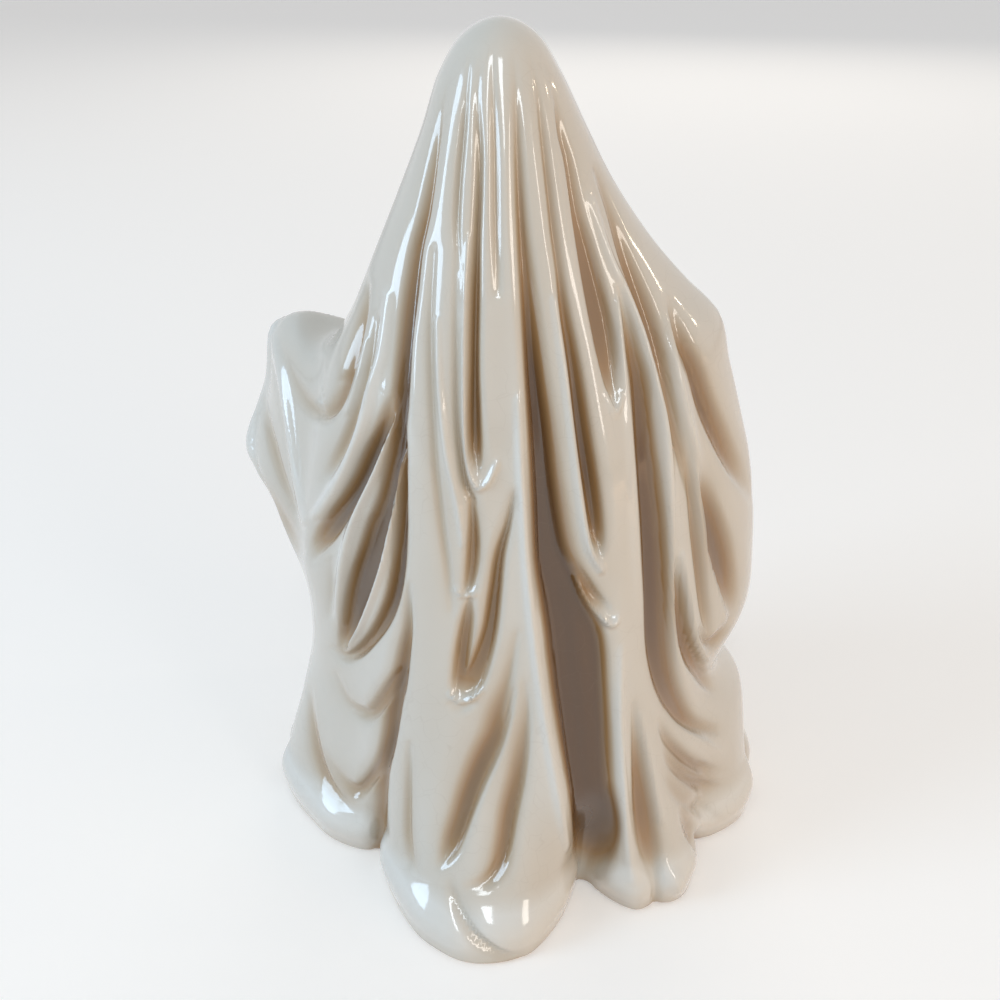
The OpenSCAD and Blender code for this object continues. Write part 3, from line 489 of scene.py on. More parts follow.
# %% Folds of the front and the sides
MM_PER_DEGREE = 1.15
MM_PER_SHARE = 330
FRONT_FOLDS = {
    "chest_swag_1": [
        (228, 0.375, 0.8, 7, 6), (214, 0.415, 2.2, 9, 6), (196, 0.437, 2.8, 9, 6), (176, 0.43, 2.4, 9, 6),
        (158, 0.4, 0.8, 7, 6)],
    "chest_swag_2": [
        (236, 0.4, 0.8, 7, 6), (222, 0.462, 2.6, 10, 6), (200, 0.495, 3.4, 10, 6), (178, 0.487, 3, 10, 6),
        (159, 0.452, 2, 9, 6), (146, 0.415, 0.8, 7, 6)],
    "chest_swag_3": [
        (242, 0.44, 0.8, 7, 6), (228, 0.525, 3, 11, 6), (206, 0.563, 3.8, 11, 6),
        (182, 0.555, 3.6, 11, 6), (161, 0.515, 2.6, 10, 6), (144, 0.46, 0.8, 7, 6)],
    "chest_swag_4": [
        (236, 0.57, 0.8, 7, 6), (222, 0.618, 2.8, 11, 6), (202, 0.636, 3.2, 11, 6),
        (184, 0.622, 2.2, 10, 6), (170, 0.6, 0.8, 7, 6)],
    "flute_1": [
        (112, 0.78, 0.8, 8, 8), (108, 0.86, 3, 10, 10), (107, 0.93, 3.6, 11, 11), (106, 1, 3.6, 11, 11)],
    "flute_2": [
        (132, 0.55, 0.8, 7, 7), (127, 0.68, 3.4, 9, 10), (130, 0.82, 4.2, 10, 12),
        (135, 0.93, 4.6, 11, 12, 1), (138, 1, 4.6, 11, 12, 1)],
    "flute_3": [
        (150, 0.545, 0.8, 7, 7), (149, 0.66, 3, 9, 9), (152, 0.8, 4, 10, 10), (159, 0.92, 4.6, 11, 11, 1),
        (163, 1, 4.6, 11, 11, 1)],
    "flute_4": [
        (168, 0.63, 0.8, 7, 7), (170, 0.74, 2.8, 9, 9), (176, 0.86, 3.4, 10, 10), (180, 0.94, 3, 10, 10),
        (181, 1, 2.4, 10, 10)],
    "flute_5": [
        (188, 0.67, 0.8, 7, 7), (190, 0.78, 3.6, 10, 9), (194, 0.9, 4.4, 11, 10, 1),
        (196, 1, 4.6, 11, 11, 1)],
    "flute_6": [
        (206, 0.68, 0.8, 7, 7), (207, 0.78, 3, 9, 9), (210, 0.9, 3.2, 10, 10), (211, 1, 2.4, 10, 10)],
    "flute_7": [
        (226, 0.64, 0.8, 7, 7), (222, 0.76, 3.8, 10, 10), (224, 0.88, 4.4, 11, 11, 1),
        (226, 1, 4.6, 11, 11, 1)],
    "flute_8": [
        (240, 0.56, 0.8, 7, 7), (237, 0.7, 3.2, 9, 10), (239, 0.85, 3.8, 11, 11), (244, 1, 3.4, 12, 12)],
    "flute_9": [
        (258, 0.77, 0.2, 8, 8), (257, 0.83, 1.6, 10, 10), (256, 0.9, 3, 11, 11), (258, 1, 3.2, 12, 12)],
    "flute_10": [
        (276, 0.76, 0.2, 8, 8), (277, 0.82, 1.4, 9, 9), (277, 0.89, 3, 10, 10), (278, 1, 3, 11, 11)],
    "sleeve_pleat_1": [
        (141, 0.42, 0.8, 6, 6), (136, 0.5, 2.6, 8, 8), (138, 0.58, 2.2, 8, 8), (141, 0.64, 0.8, 6, 6)],
    "sleeve_pleat_2": [
        (128, 0.44, 0.8, 6, 6), (124, 0.53, 2.4, 8, 8), (121, 0.61, 2.6, 8, 8), (116, 0.69, 1, 7, 7)],
    "sleeve_pleat_3": [
        (112, 0.46, 0.8, 6, 6), (110, 0.56, 2, 8, 8), (106, 0.65, 2.2, 8, 8), (101, 0.72, 1, 7, 7)],
    "elbow_drop_1": [
        (266, 0.34, 0.8, 7, 7), (262, 0.46, 3, 9, 9), (257, 0.6, 3.2, 10, 10), (254, 0.72, 1, 8, 8)],
    "elbow_drop_2": [
        (276, 0.36, 0.8, 7, 7), (275, 0.48, 2.8, 9, 9), (270, 0.62, 3, 10, 10), (266, 0.72, 1, 8, 8)],
    "sleeve_front_edge": [
        (118, 0.55, -1.2, 6, 6), (116, 0.567, -2.4, 6, 7), (114.5, 0.6, -2, 6, 7),
        (114, 0.63, -1.8, 6, 7), (113, 0.656, -2, 7, 7), (112, 0.682, -3.4, 7, 7),
        (110, 0.694, -1.6, 6, 6)],
    "below_sleeve": [
        (96, 0.74, 0.8, 7, 7), (93, 0.84, 2.6, 9, 9), (92, 0.93, 3, 10, 10), (91, 1, 3, 10, 10)],
}
print(len(FRONT_FOLDS), "folds on the other sides")

# %% [markdown]
# ## Pressing a fold
#
# A narrow cloth valley is two round rolls that meet in a sharp line, so its profile is one minus a
# sine. A broad one has a flat floor between two S-shaped flanks. Both lie in a wide shallow shoulder,
# which makes the cloth between two folds round. Each vertex finds the nearest stretch of the fold's
# line, which gives its distance, its side and the depth there. Where folds cross, the deeper one
# wins softly, and a fold that only comes near adds almost nothing.

# %% Fold profile
LINE_STEPS = 6
VALLEY_SOFTNESS = 0.2
SHOULDER_REACH = 2.2
SHOULDER_SHARE = 0.34
HALF_FLAT_FLOOR = 2
JOIN_POWER = 3
FAR_AWAY = 1e9


def smooth_line(points):
    """Points of a smooth curve through a fold's listed points. A floor that isn't given is 0."""
    points = np.array([tuple(p) + (0,) * (6 - len(p)) for p in points], float)
    share = np.linspace(0, 1, LINE_STEPS * (len(points) - 1) + 1)
    last = len(points) - 1
    i = np.minimum((share * last).astype(int), last - 1)
    f = (share * last - i)[:, None]
    b, c = points[i], points[i + 1]
    a, d = points[np.maximum(i - 1, 0)], points[np.minimum(i + 2, last)]
    return b + 0.5 * f * ((c - a) + f * ((2 * a - 5 * b + 4 * c - d) + f * (3 * b - a - 3 * c + d)))


def fold_height(points, across, down):
    """Depth of one fold at each place of a flat view, positive where the clay is pressed in."""
    line = smooth_line(points)
    reach = SHOULDER_REACH * line[:, 3:5].max() + line[:, 5].max()
    near = ((across > line[:, 0].min() - reach) & (across < line[:, 0].max() + reach)
            & (down > line[:, 1].min() - reach) & (down < line[:, 1].max() + reach))
    x, y = across[near], down[near]
    nearest = np.full(x.shape, FAR_AWAY)
    found = np.zeros(x.shape + (4,))
    side = np.zeros(x.shape)
    for start, end in zip(line[:-1], line[1:]):
        run = end[:2] - start[:2]
        dx, dy = x - start[0], y - start[1]
        part = np.clip((dx * run[0] + dy * run[1]) / (run @ run), 0, 1)
        away = (dx - part * run[0]) ** 2 + (dy - part * run[1]) ** 2
        closer = away < nearest
        nearest[closer] = away[closer]
        found[closer] = (start[2:] + part[closer, None] * (end[2:] - start[2:]))
        side[closer] = (run[0] * dy - run[1] * dx)[closer]
    width = np.where(side > 0, found[:, 1], found[:, 2])
    floor = np.maximum(found[:, 3], 0)
    off = np.maximum(np.sqrt(nearest) - floor, 0) / width
    sharp = 1 - np.sin(np.minimum(np.sqrt(off ** 2 + VALLEY_SOFTNESS ** 2), 1) * math.pi / 2)
    sharp /= 1 - math.sin(VALLEY_SOFTNESS * math.pi / 2)
    round_off = np.cos(np.minimum(off, 1) * math.pi / 2) ** 2
    flatness = floor / (floor + HALF_FLAT_FLOOR)
    shoulder = np.cos(np.minimum(off / SHOULDER_REACH, 1) * math.pi / 2) ** 2
    bottom = (1 - flatness) * sharp + flatness * round_off
    valley = (1 - SHOULDER_SHARE) * bottom + SHOULDER_SHARE * shoulder
    height = np.zeros(across.shape)
    height[near] = np.where(found[:, 0] > 0, valley, round_off) * found[:, 0]
    return height


def pressed(folds, across, down):
    """All folds of a view joined into one depth."""
    valleys = np.zeros(across.shape)
    ridges = np.zeros(across.shape)
    for points in folds.values():
        height = fold_height(points, across, down)
        valleys += np.maximum(height, 0) ** JOIN_POWER
        ridges += np.maximum(-height, 0) ** JOIN_POWER
    return valleys ** (1 / JOIN_POWER) - ridges ** (1 / JOIN_POWER)


trial = pressed({"trial": [(0, -9, 3, 8, 8), (0, 9, 3, 8, 8)]}, np.array([0.0, 4.0, 8.0]), np.zeros(3))
print("a 3 mm fold, at its line, half way and at its reach:", trial.round(2), "mm")

# %% [markdown]
# ## The clay's grid
#
# The drape is one grid wrapped round the body: its columns are finest on the back, where most folds
# are, and its lines fall exactly on the seams between the castings. The openings and seams stand on
# the rows of the CAD model's coarser grid, which has its first row at the crown.

# %% Columns, rows, seams and openings
CAD_ROWS = 44
HEM_TOP = 1 - HEM_ROUND / FIGURE_H
ROW_STEP = HEM_TOP / (CAD_ROWS - 1)
SEAM_TOP, SEAM_LOW = 17 * ROW_STEP, 34 * ROW_STEP
LEFT_SEAMS, RIGHT_SEAMS = (95, 150), (-125, -70)
COLUMN_SPANS = [(-125, -70, 60), (-70, 95, 220), (95, 150, 60), (150, 235, 68)]
HOOD_END = 0.12
ROW_SPANS = [(0, HOOD_END, 24), (HOOD_END, SEAM_TOP, 66), (SEAM_TOP, SEAM_LOW, 96),
             (SEAM_LOW, HEM_TOP, 51), (HEM_TOP, 1, 3)]
# Each opening: plan angle, share of the way down, half the columns and rows left out, width, height
FACE_HOLES = [
    (160, 10 * ROW_STEP, 8, 6, EYE_W, EYE_H), (200, 10 * ROW_STEP, 8, 6, EYE_W, EYE_H),
    (180, 14 * ROW_STEP, 8, 6, MOUTH_W, MOUTH_H)]


def grid_lines(spans, thinning=1):
    """Places of the grid's lines over its spans."""
    parts = [np.linspace(a, b, n // thinning, endpoint=False) for a, b, n in spans]
    return np.concatenate(parts + [[spans[-1][1]]])


fine_lines = (grid_lines(COLUMN_SPANS), grid_lines(ROW_SPANS))
print(len(fine_lines[0]), "columns and", len(fine_lines[1]), "rows")

# %% [markdown]
# ## Openings that follow the grid
#
# The potter cuts the eyes and the mouth out of the soft clay with a loop of wire. A Boolean could do
# it here, but it would leave ragged cells in a glossy face. So the grid is drawn in to an oval near
# each opening, and the cells inside the oval are taken out later.

# %% Drawing the grid in to an oval
HOLE_REACH = 2.2


def nearest_line(lines, place):
    return int(np.abs(lines - place).argmin())


def hole_shift(columns, rows, hole, cells, lines):
    """How far an opening draws the grid in, in columns and rows, and each place's distance to its rim."""
    angle_lines, share_lines = lines
    c, r = nearest_line(angle_lines, hole[0]), nearest_line(share_lines, hole[1])
    here, beside, below = drape_point(
        np.array([angle_lines[c], angle_lines[c + 1], angle_lines[c]]),
        np.array([share_lines[r], share_lines[r], share_lines[r + 1]]))
    half_c = hole[4] / 2 / np.linalg.norm(beside - here)
    half_r = hole[5] / 2 / np.linalg.norm(below - here)
    dc, dr = columns - c, rows - r
    square = np.maximum(np.abs(dc) / cells[0], np.abs(dr) / cells[1])
    round_off = square / np.maximum(np.hypot(dc / cells[0], dr / cells[1]), 1e-6)
    pull = eased((HOLE_REACH - square) / (HOLE_REACH - 1))
    moved_c = dc * (1 - pull) + pull * dc * round_off * half_c / cells[0]
    moved_r = dr * (1 - pull) + pull * dr * round_off * half_r / cells[1]
    rim = (np.hypot(moved_c / half_c, moved_r / half_r) - 1) * min(hole[4], hole[5]) / 2
    return moved_c - dc, moved_r - dr, rim


def wrap(lines, thinning):
    """Angle and share of every grid place, and its distance in millimetres from the nearest rim."""
    angle_lines, share_lines = lines
    columns, rows = np.meshgrid(np.arange(len(angle_lines)) * 1.0, np.arange(len(share_lines)) * 1.0)
    shift_c, shift_r = np.zeros(columns.shape), np.zeros(columns.shape)
    rim = np.full(columns.shape, FAR_AWAY)
    for hole in FACE_HOLES:
        cells = (hole[2] // thinning[0], hole[3] // thinning[1])
        c, r, distance = hole_shift(columns, rows, hole, cells, lines)
        shift_c, shift_r, rim = shift_c + c, shift_r + r, np.minimum(rim, distance)
    angle = np.interp(columns + shift_c, np.arange(len(angle_lines)), angle_lines)
    share = np.interp(rows + shift_r, np.arange(len(share_lines)), share_lines)
    return angle, share, rim


angle, share, rim = wrap(fine_lines, (1, 1))
print(int((rim < 0).sum()), "grid places lie in an opening")

# %% [markdown]
# ## The smooth skin and its outward directions
#
# Folds are pressed in along the direction that the skin faces. At the foot that direction is turned
# level, because a fold there must slide over the floor and not lift off it.

# %% Smooth skin
LEVEL_START, LEVEL_SPAN = 0.95, 0.045


def outward(points):
    """Outward direction at every grid place, from its neighbours."""
    down = np.gradient(points, axis=0)
    across = np.gradient(points, axis=1)
    across[:, 0] = across[:, -1] = points[:, 1] - points[:, -2]
    out = np.cross(across, down)
    if (out[1:, :, :2] * points[1:, :, :2]).sum() < 0:
        out = -out
    out[0] = [0, 0, 1]
    return out / np.maximum(np.linalg.norm(out, axis=-1, keepdims=True), 1e-9)


def level_at_foot(directions, share_here):
    """Directions turned level towards the foot, so that folds there stay on the floor."""
    level = directions.copy()
    level[..., 2] *= 1 - eased((share_here - LEVEL_START) / LEVEL_SPAN)
    return level / np.maximum(np.linalg.norm(level, axis=-1, keepdims=True), 1e-9)


smooth_skin = drape_point(angle, share)
out_dir = level_at_foot(outward(smooth_skin), share)
print("grid", smooth_skin.shape[:2], "reach", smooth_skin.reshape(-1, 3).max(0).round(1))

# %% [markdown]
# ## All folds together
#
# A fold drawn on the photograph may only press clay that the camera sees, so each view has a weight
# that fades out as the surface turns away from it. The turning is evened over the grid first, or the
# fade would follow every small bend of the skin.

# %% Depth of the folds at every place of the grid
FACING_EVENING = 24
FACING_FADE = 0.16
UNROLL_CUT = 60


def blurred(values, steps):
    """Values evened out over the grid, which closes on itself sideways."""
    for _ in range(steps):
        ring = values[:, :-1]
        ring = (np.roll(ring, 1, 1) + 2 * ring + np.roll(ring, -1, 1)) / 4
        values = np.concatenate([ring, ring[:, :1]], 1)
        padded = np.pad(values, ((1, 1), (0, 0)), "edge")
        values = (padded[:-2] + 2 * padded[1:-1] + padded[2:]) / 4
    return values


to_camera = CAMERA_PLACE - smooth_skin
facing = (out_dir * to_camera).sum(-1) / np.linalg.norm(to_camera, axis=-1)
in_photo = eased(blurred(facing, FACING_EVENING) / FACING_FADE)
pixel_x, pixel_y = photo_pixel(smooth_skin)
depth = in_photo * pressed({**BACK_FOLDS, **LEFT_FOLDS}, pixel_x, pixel_y)
# The unrolled drape is cut at the back, where the photograph rules
turn = np.where(angle < UNROLL_CUT, angle + 360, angle)
unrolled = {name: [(p[0] * MM_PER_DEGREE, p[1] * MM_PER_SHARE, *p[2:]) for p in points]
            for name, points in FRONT_FOLDS.items()}
depth += (1 - in_photo) * pressed(unrolled, turn * MM_PER_DEGREE, share * MM_PER_SHARE)
print("deepest fold", depth.max().round(2), "mm, highest roll", -depth.min().round(2), "mm")

# %% [markdown]
# ## Round edges
#
# Clay and glaze have no sharp edges. The hem is a soft roll that turns under at the floor, and a
# valley that runs out over it presses it mostly flat. The rims of the eyes and the mouth roll
# inwards, and folds die out before they reach a rim.

# %% Hem roll and rims
HEM_ROLL, HEM_ROLL_SHARE, HEM_ROLL_REACH = 2.6, 0.966, 0.034
FLATTENED_SHARE, FLATTENING_DEPTH = 0.8, 3.5
HOLE_ROLL = 1.6
RIM_CALM = 4
depth += HEM_ROUND * eased((share - HEM_TOP) / (1 - HEM_TOP)) ** 2
off_roll = np.minimum(np.abs(share - HEM_ROLL_SHARE) / HEM_ROLL_REACH, 1)
roll = HEM_ROLL * np.cos(off_roll * math.pi / 2) ** 2
depth -= roll * (1 - FLATTENED_SHARE * eased(depth / FLATTENING_DEPTH))
rolled_in = HOLE_ROLL - np.sqrt(np.maximum(HOLE_ROLL ** 2 - np.maximum(HOLE_ROLL - rim, 0) ** 2, 0))
depth = depth * eased(rim / RIM_CALM) + rolled_in
skin = smooth_skin - out_dir * depth[..., None]
skin[-1, :, 2] = 0
skin[..., 2] = np.maximum(skin[..., 2], 0)
skin_normals = outward(skin)
print("skin from", skin.reshape(-1, 3).min(0).round(1), "to", skin.reshape(-1, 3).max(0).round(1))

# %% [markdown]
# ## Where the glaze pools, and painted shade
#
# Molten glaze runs off the ridges and gathers in the valleys, narrow ones and wide ones alike. The
# same value also paints the shade that falls into the valleys, and a lighter tone on the ridges as
# if more light fell there. A place is hollow where it lies deeper than its wider surroundings, so
# the depth is compared with itself evened out widely. The value is kept on the vertices, for the
# glaze to read.

# %% Hollow places
HOLLOW_DEPTH = 3.9
FINE_STEPS, NEAR_STEPS, WIDE_STEPS = 2, 10, 160
FINE_SHARE, NEAR_SHARE, WIDE_SHARE = 0.6, 0.4, 0.4
here = FINE_SHARE * blurred(depth, FINE_STEPS) + NEAR_SHARE * blurred(depth, NEAR_STEPS)
hollow = np.clip((here - WIDE_SHARE * blurred(depth, WIDE_STEPS)) / HOLLOW_DEPTH, -1, 1)
print("hollow from", hollow.min().round(2), "to", hollow.max().round(2))

# %% [markdown]
# ## Castings from the grid
#
# Blender's grid operator makes the flat sheet. Its vertices are then moved to their places on the
# drape, the cells of one casting are kept, and the sheet's two edges are welded where they meet. The
# rims of a coarse skin are cut as finely as those of the fine one, so that the two can be bridged.

# %% One skin of a casting
OWNER_BODY, OWNER_LEFT, OWNER_RIGHT = 0, 1, 2
INNER_THINNING = (4, 3)
WELD = 1e-6
NEXT_ROW = 0.9


def cell_owner(angle_here, share_here, lines, thinning):
    """Which casting a grid cell belongs to, or None over an opening."""
    if SEAM_TOP < share_here < SEAM_LOW:
        if LEFT_SEAMS[0] < angle_here < LEFT_SEAMS[1]:
            return OWNER_LEFT
        if RIGHT_SEAMS[0] < angle_here < RIGHT_SEAMS[1]:
            return OWNER_RIGHT
    for hole in FACE_HOLES:
        c, r = nearest_line(lines[0], hole[0]), nearest_line(lines[1], hole[1])
        half_c, half_r = hole[2] // thinning[0], hole[3] // thinning[1]
        if (lines[0][c - half_c] < angle_here < lines[0][c + half_c]
                and lines[1][r - half_r] < share_here < lines[1][r + half_r]):
            return None
    return OWNER_BODY


def sheet(points, lines, owner, thinning, extras=None):
    """A bmesh of one skin: the grid's cells that belong to one casting, in place."""
    rows, columns = points.shape[:2]
    bm = bmesh.new()
    bmesh.ops.create_grid(bm, x_segments=columns - 1, y_segments=rows - 1, size=0.5)
    columns_of = [round((v.co.x + 0.5) * (columns - 1)) for v in bm.verts]
    rows_of = [round((v.co.y + 0.5) * (rows - 1)) for v in bm.verts]
    middle_angles = (lines[0][1:] + lines[0][:-1]) / 2
    middle_shares = (lines[1][1:] + lines[1][:-1]) / 2
    row_layer = bm.verts.layers.float.new("row")
    for v, r in zip(bm.verts, rows_of):
        v[row_layer] = r
    strangers = []
    for face in bm.faces:
        centre = face.calc_center_median()
        c = int((centre.x + 0.5) * (columns - 1))
        r = int((centre.y + 0.5) * (rows - 1))
        if cell_owner(middle_angles[c], middle_shares[r], lines, thinning) != owner:
            strangers.append(face)
    layers = {}
    for name, values in (extras or {}).items():
        kind = bm.verts.layers.float_vector if values.ndim == 3 else bm.verts.layers.float
        layers[name] = kind.new(name)
    for v, c, r in zip(bm.verts, columns_of, rows_of):
        v.co = Vector(points[r, c] * METRES_PER_MM)
        for name, layer in layers.items():
            v[layer] = Vector(extras[name][r, c]) if extras[name].ndim == 3 else float(extras[name][r, c])
    bmesh.ops.delete(bm, geom=strangers, context="FACES")
    bmesh.ops.remove_doubles(bm, verts=bm.verts, dist=WELD)
    for down, cuts in ((False, thinning[0] - 1), (True, thinning[1] - 1)):
        edges = [e for e in bm.edges if e.is_boundary
                 and (abs(e.verts[0][row_layer] - e.verts[1][row_layer]) > NEXT_ROW) == down]
        if cuts:
            bmesh.ops.subdivide_edges(bm, edges=edges, cuts=cuts)
    bm.verts.layers.float.remove(bm.verts.layers.float["row"])
    return bm


# %% [markdown]
# ## Closing the clay
#
# The inside of a casting is a coarser, smooth skin. Each open rim of the outer skin has its mate on
# the inner one, the rim whose middle is nearest, and bridge_loops closes the wall between the two.
# The glaze was poured after the castings were luted together, so it runs over the seams without a
# step. The outer faces therefore keep the normals of the whole figure's skin.

# %% Building one casting
PARTED = 0.02
GLAZED, BARE = 0, 1
FACE_RIM_EDGES = 100


def open_rims(bm):
    """The closed loops of edges that have a face on one side only, in the mesh's own order."""
    waiting = {e: True for e in bm.edges if e.is_boundary}
    loops = []
    while waiting:
        step = next(iter(waiting))
        end = step.verts[0]
        loop = []
        while step is not None:
            del waiting[step]
            loop.append(step)
            end = step.other_vert(end)
            step = next((e for e in end.link_edges if e in waiting), None)
        loops.append(loop)
    return loops


def rim_middle(loop):
    corners = [v.co for e in loop for v in e.verts]
    return sum(corners, Vector()) / len(corners)


def casting(name, owner):
    """Outer and inner skin of one casting, bridged at every open rim."""
    outer = sheet(skin, fine_lines, owner, (1, 1), {"hollow": hollow, "skin_normal": skin_normals})
    inner = sheet(inner_skin, coarse_lines, owner, INNER_THINNING)
    for face in inner.faces:
        face.material_index = BARE
    inner_mesh = bpy.data.meshes.new("inner")
    inner.to_mesh(inner_mesh)
    outer.from_mesh(inner_mesh)
    bpy.data.meshes.remove(inner_mesh)
    rims = open_rims(outer)
    outer_rims = [r for r in rims if r[0].link_faces[0].material_index == GLAZED]
    inner_rims = [r for r in rims if r[0].link_faces[0].material_index == BARE]
    for rim_loop in outer_rims:
        middle = rim_middle(rim_loop)
        mate = min(inner_rims, key=lambda r: (rim_middle(r) - middle).length)
        # Two rims in one plane don't show the bridge which way it runs, so they are parted for it
        mate_verts = {v for e in mate for v in e.verts} if middle.z < WELD else set()
        bmesh.ops.translate(outer, verts=list(mate_verts), vec=(0, 0, PARTED))
        wall_faces = bmesh.ops.bridge_loops(outer, edges=rim_loop + mate)["faces"]
        bmesh.ops.translate(outer, verts=list(mate_verts), vec=(0, 0, -PARTED))
        at_face = len(rim_loop) < FACE_RIM_EDGES
        for face in wall_faces:
            face.material_index = GLAZED if at_face else BARE
    bmesh.ops.recalc_face_normals(outer, faces=outer.faces)
    for face in outer.faces:
        face.smooth = True
    mesh = bpy.data.meshes.new(name)
    outer.to_mesh(mesh)
    print(name, len(mesh.polygons), "faces,", len(outer_rims), "rims,",
          sum(1 for e in outer.edges if not e.is_manifold), "open edges left")
    outer.free()
    inner.free()
    smooth_glaze(mesh)
    obj = bpy.data.objects.new(name, mesh)
    bpy.context.scene.collection.objects.link(obj)
    return obj


def smooth_glaze(mesh):
    """Gives the outer faces the whole skin's normals, and leaves the other faces their own."""
    stored = np.zeros(len(mesh.vertices) * 3)
    mesh.attributes["skin_normal"].data.foreach_get("vector", stored)
    stored = stored.reshape(-1, 3)
    normals = np.zeros((len(mesh.loops), 3))
    corner = np.zeros(len(mesh.loops), int)
    mesh.loops.foreach_get("vertex_index", corner)
    for polygon in mesh.polygons:
        loops = slice(polygon.loop_start, polygon.loop_start + polygon.loop_total)
        on_skin = np.linalg.norm(stored[corner[loops]], axis=1).min() > 0.5
        normals[loops] = stored[corner[loops]] if on_skin else polygon.normal
    mesh.normals_split_custom_set(normals.tolist())
    mesh.attributes.remove(mesh.attributes["skin_normal"])


# %% [markdown]
# ## The inside
#
# The inner skin is what the emptied mould leaves: smooth, a wall's thickness inside the drape, and
# deeper where a fold is pressed far in, so that clay is left behind every fold. For that the depth
# is spread sideways, evened out and read at the coarser grid's places.

# %% Inner skin
SPREAD_STEPS, SPREAD_EVENING = 8, 6
LEAST_CLAY = 2.2
RIM_WALL_REACH = 8
FOOT_ROWS = 6
coarse_lines = (grid_lines(COLUMN_SPANS, INNER_THINNING[0]), grid_lines(ROW_SPANS, INNER_THINNING[1]))
inner_angle, inner_share, inner_rim = wrap(coarse_lines, INNER_THINNING)
inner_smooth = drape_point(inner_angle, inner_share)
inner_out = level_at_foot(outward(inner_smooth), inner_share)
pressed_near = depth
for _ in range(SPREAD_STEPS):
    moved = [np.roll(pressed_near, step, axis) for step in (1, -1) for axis in (0, 1)]
    pressed_near = np.maximum.reduce([pressed_near, *moved])
pressed_near = blurred(pressed_near, SPREAD_EVENING)
rows_at = np.searchsorted(fine_lines[1], coarse_lines[1] - 1e-9).clip(0, len(fine_lines[1]) - 1)
columns_at = np.searchsorted(fine_lines[0], coarse_lines[0] - 1e-9).clip(0, len(fine_lines[0]) - 1)
clay = np.maximum(WALL + FOLD_STOCK, pressed_near[np.ix_(rows_at, columns_at)] + LEAST_CLAY)
clay = np.where(inner_rim < RIM_WALL_REACH, WALL + FOLD_STOCK, clay)
clay[-FOOT_ROWS:] = np.minimum(clay[-FOOT_ROWS:], WALL + FOLD_STOCK)
clay[0] = clay[0].mean()
inner_skin = inner_smooth - inner_out * clay[..., None]
inner_skin[..., 2] = np.maximum(inner_skin[..., 2], inner_smooth[..., 2] / 2)
inner_skin[-1, :, 2] = 0
print("clay from", clay.min().round(1), "to", clay.max().round(1), "mm inside the smooth drape")

# %% The three castings
drape_body = casting("glazed_drape_body", OWNER_BODY)
left_arm = casting("glazed_left_arm_drape", OWNER_LEFT)
right_arm = casting("glazed_right_arm_drape", OWNER_RIGHT)

# %% [markdown]
# ## Glaze
#
# A cream glaze over buff clay: glassy, thin on the ridges and pooled warm in the folds, with fine
# crazing and a few pinholes. Its colour also holds painted shade, dark and warm in the folds, and a
# painted lighter tone on the ridges. Its colour and its flaws are a node group each, with named
# inputs, so that one can be tuned without the other.

# %% Node helpers
def new_group(name, inputs, outputs):
    """An empty node group with its sockets and its input and output nodes."""
    group = bpy.data.node_groups.new(name, "ShaderNodeTree")
    for socket, kind, value in inputs:
        made = group.interface.new_socket(socket, in_out="INPUT", socket_type=kind)
        made.default_value = value
    for socket, kind in outputs:
        group.interface.new_socket(socket, in_out="OUTPUT", socket_type=kind)
    return group, group.nodes.new("NodeGroupInput"), group.nodes.new("NodeGroupOutput")


def add_node(tree, kind, **settings):
    """A node with its settings. Keys that name an input socket set that socket."""
    node = tree.nodes.new(kind)
    for key, value in settings.items():
        if key in node.inputs:
            node.inputs[key].default_value = value
        else:
            setattr(node, key, value)
    return node


def math_of(tree, operation, *values):
    """Output of a Math node whose inputs are sockets or plain numbers."""
    node = add_node(tree, "ShaderNodeMath", operation=operation)
    for socket, value in zip(node.inputs, values):
        if isinstance(value, (int, float)):
            socket.default_value = value
        else:
            tree.links.new(value, socket)
    return node.outputs[0]


def ramp(tree, stops):
    """A colour ramp from (place, colour) stops."""
    node = tree.nodes.new("ShaderNodeValToRGB")
    while len(node.color_ramp.elements) < len(stops):
        node.color_ramp.elements.new(1)
    for element, (place, colour) in zip(node.color_ramp.elements, stops):
        element.position = place
        element.color = (*colour, 1) if len(colour) == 3 else (colour[0],) * 3 + (1,)
    return node


# %% Glaze colour group
# The tones are partly painted light and shade: lighter on the ridges, and a painted dark warm shade in the
# valleys besides the pooled glaze.
GLAZE_RIDGE = (0.655, 0.65, 0.61)
GLAZE_PLAIN = (0.55, 0.52, 0.455)
GLAZE_TAN = (0.44, 0.36, 0.26)
GLAZE_POOL_AND_SHADE = (0.31, 0.19, 0.085)
GLAZE_DEEP_POOL_AND_SHADE = (0.095, 0.045, 0.012)
GLAZE_TONES = [
    (0.0, GLAZE_RIDGE), (0.28, GLAZE_PLAIN), (0.45, GLAZE_TAN), (0.65, GLAZE_POOL_AND_SHADE), (0.98, GLAZE_DEEP_POOL_AND_SHADE)]


